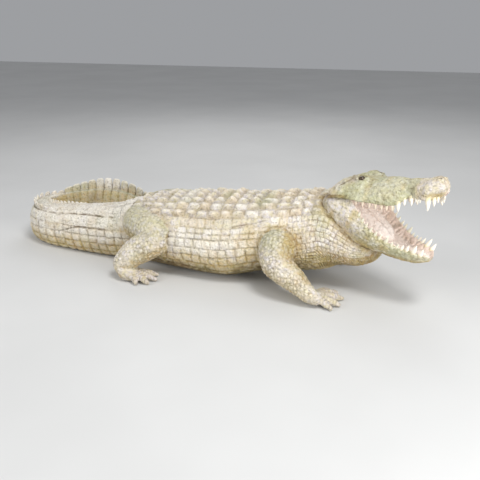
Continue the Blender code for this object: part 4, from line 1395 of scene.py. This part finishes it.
def patina_paint():
    """Thin paint on the casting: washes over the grounds, dark in the grooves and dry-brushed on top. The
    dark wash and the ochre also paint the shade stored in the groove and ochre fields.
    """
    paint = Paint("painted_patina")
    groove, keel, tint, ochre, green, pale, flesh = (paint.field(name) for name in FIELDS)
    broad = paint.noise(16, start=0.35, stop=0.65)
    patch = paint.noise(60, start=0.35, stop=0.68)
    mottle = paint.noise(190, detail=4, start=0.36, stop=0.64)
    speck = paint.noise(330, detail=4, start=0.5, stop=0.68)
    grain = paint.noise(700, start=0.35, stop=0.7)
    lilac = paint.noise(170, detail=4, start=0.44, stop=0.6, shift=3.1)
    yellow = paint.noise(110, detail=4, start=0.48, stop=0.66, shift=7.7)
    bare = paint.math("SUBTRACT", 1.0, flesh)
    leaf = paint.mix(LEAF, OLIVE, mottle, 0.5)
    earth = paint.mix(OCHRE, ORANGE, patch, 0.6)
    earth = paint.mix(earth, OLIVE, mottle, 0.35)
    skin = paint.mix(FLESH, TAN, patch, 0.4)
    # The dark wash, which also paints shade: under the belly, in the tail's bend, along the jaws, by the
    # forelegs and between the back's keels.
    wash = paint.mix(GROOVE, GROOVE_GREEN, broad)
    colour = paint.mix(CREAM, MAUVE, patch, 0.45)
    colour = paint.mix(colour, LILAC, lilac, 0.7)
    colour = paint.mix(colour, STRAW, yellow, 0.8)
    colour = paint.mix(colour, WARM, paint.spread(tint, 0.45, 0.95), 0.65)
    colour = paint.mix(colour, CHALK, paint.spread(tint, 0.3, 0.05), 0.5)
    colour = paint.mix(colour, leaf, green, paint.spread(broad, 0.0, 1.0, 0.6, 0.95))
    colour = paint.mix(colour, earth, ochre, paint.spread(mottle, 0.0, 1.0, 0.9, 0.6))
    colour = paint.mix(colour, CHALK, pale, paint.spread(patch, 0.0, 1.0, 0.75, 0.35))
    colour = paint.mix(colour, skin, flesh)
    colour = paint.mix(colour, BLUSH, pale, flesh, 0.8)
    colour = paint.mix(colour, GROOVE_GREEN, speck, bare, 0.46)
    colour = paint.mix(colour, CHALK, keel, paint.spread(grain, 0.1, 0.7, 0.35, 0.95), 0.85)
    colour = paint.mix(colour, wash, groove, paint.spread(mottle, 0.0, 1.0, 1.0, 0.6), 0.9)
    normal = paint.bump(mottle, 0.0012, 0.7, paint.bump(grain, 0.0005, 0.7))
    paint.feed(paint.shader, {"Normal": normal, "Specular IOR Level": 0.45})
    return paint.finish(colour, paint.spread(mottle, 0.0, 1.0, 0.42, 0.62))


def tooth_paint():
    """Ivory teeth, duller at the root, with a green or flesh cast on the dull ones."""
    paint = Paint("tooth_enamel")
    keel = paint.field("keel")
    grain = paint.noise(500, stop=0.8)
    colour = paint.mix(STRAW, IVORY, paint.spread(keel, 0.15, 0.4))
    colour = paint.mix(colour, CHALK, keel, 0.6)
    colour = paint.mix(colour, WARM, grain, 0.2)
    colour = paint.mix(colour, LEAF, paint.field("green"), 0.35)
    colour = paint.mix(colour, TAN, paint.field("flesh"), 0.5)
    return paint.finish(colour, 0.38, Normal=paint.bump(grain, 0.0002, 0.4))


def eye_paint():
    paint = Paint("eye_glaze")
    return paint.finish(paint.mix(shade(40, 32, 24), shade(84, 66, 40), paint.noise(900)), 0.12)


def floor_and_lights():
    bpy.ops.mesh.primitive_plane_add(size=8, location=(0, 0, -0.0004))
    floor = bpy.context.object
    floor.name = "floor"
    paint = Paint("studio_floor")
    grey = paint.mix((0.62, 0.62, 0.61, 1), (0.66, 0.66, 0.65, 1), paint.noise(3))
    floor.data.materials.append(paint.finish(grey, 0.75))

    world = bpy.data.worlds.new("studio")
    bpy.context.scene.world = world
    world.use_nodes = True
    background = world.node_tree.nodes["Background"]
    background.inputs["Color"].default_value = (0.94, 0.96, 1.0, 1)
    background.inputs["Strength"].default_value = 0.36
    for name, place, size, power in LIGHTS:
        light = bpy.data.objects.new(name, bpy.data.lights.new(name, "AREA"))
        light.data.energy = power
        light.data.size = size
        light.location = place
        light.rotation_euler = (Vector((0, 0, 0.05)) - light.location).to_track_quat("-Z", "Y").to_euler()
        bpy.context.scene.collection.objects.link(light)


def photo_camera():
    a, e = math.radians(CAMERA_AZIMUTH), math.radians(CAMERA_ELEVATION)
    back = Vector((math.sin(a) * math.cos(e), -math.cos(a) * math.cos(e), math.sin(e)))
    camera = bpy.data.objects.new("camera", bpy.data.cameras.new("camera"))
    camera.data.sensor_width = 36
    camera.data.lens = CAMERA_LENS
    camera.data.clip_start = 0.01
    camera.location = Vector(CAMERA_TARGET) + back * CAMERA_DISTANCE
    camera.rotation_mode = "QUATERNION"
    camera.rotation_quaternion = (-back).to_track_quat("-Z", "Y")
    bpy.context.scene.collection.objects.link(camera)
    bpy.context.scene.camera = camera


SKIN = BodySkin()
HIP = SKIN.loft.station_at[HIP_SECTION]
JOIN = SKIN.loft.station_at[CRESTS_JOIN_SECTION]
PLATE_COUNT = round((SKIN.length - JOIN) / PLATE_PITCH)
PLATE_STEP = (SKIN.length - JOIN) / PLATE_COUNT
SKULL_FRAME = frame_of(SKULL_AT, SKULL_PITCH)
JAW_FRAME = frame_of(JAW_AT, JAW_PITCH)
SKULL_LOFT = Loft(head_sections(SKULL, skull_half, SKULL_FRAME))
JAW_LOFT = Loft(head_sections(JAW, jaw_half, JAW_FRAME))

bpy.context.scene.view_settings.view_transform = "Standard"
PATINA = patina_paint()
ENAMEL = tooth_paint()
GLAZE = eye_paint()
NECK_RINGS = np.arange(0, NECK_END, 1.0)
body_piece("trunk", np.concatenate([NECK_RINGS, np.linspace(NECK_END, HIP, TRUNK_RINGS)]), PATINA)
body_piece("tail", np.linspace(HIP, SKIN.length, TAIL_RINGS), PATINA)
crest_blades(PATINA)
skull_piece(PATINA)
jaw_piece(PATINA)
tongue_piece(PATINA)
teeth_piece("upper_teeth", UPPER_TEETH, SKULL, (6, 7), SKULL_FRAME, -1, 0.88, 92, ENAMEL)
teeth_piece("lower_teeth", LOWER_TEETH, JAW, (3, 4), JAW_FRAME, 1, 1.05, 112, ENAMEL)
eye_piece("right_eye", -1, 0.6, GLAZE)
eye_piece("left_eye", 1, 2.4, GLAZE)
for leg_kind in ("fore", "hind"):
    for leg_side in (-1, 1):
        leg_piece(leg_kind, leg_side, PATINA)
floor_and_lights()
photo_camera()
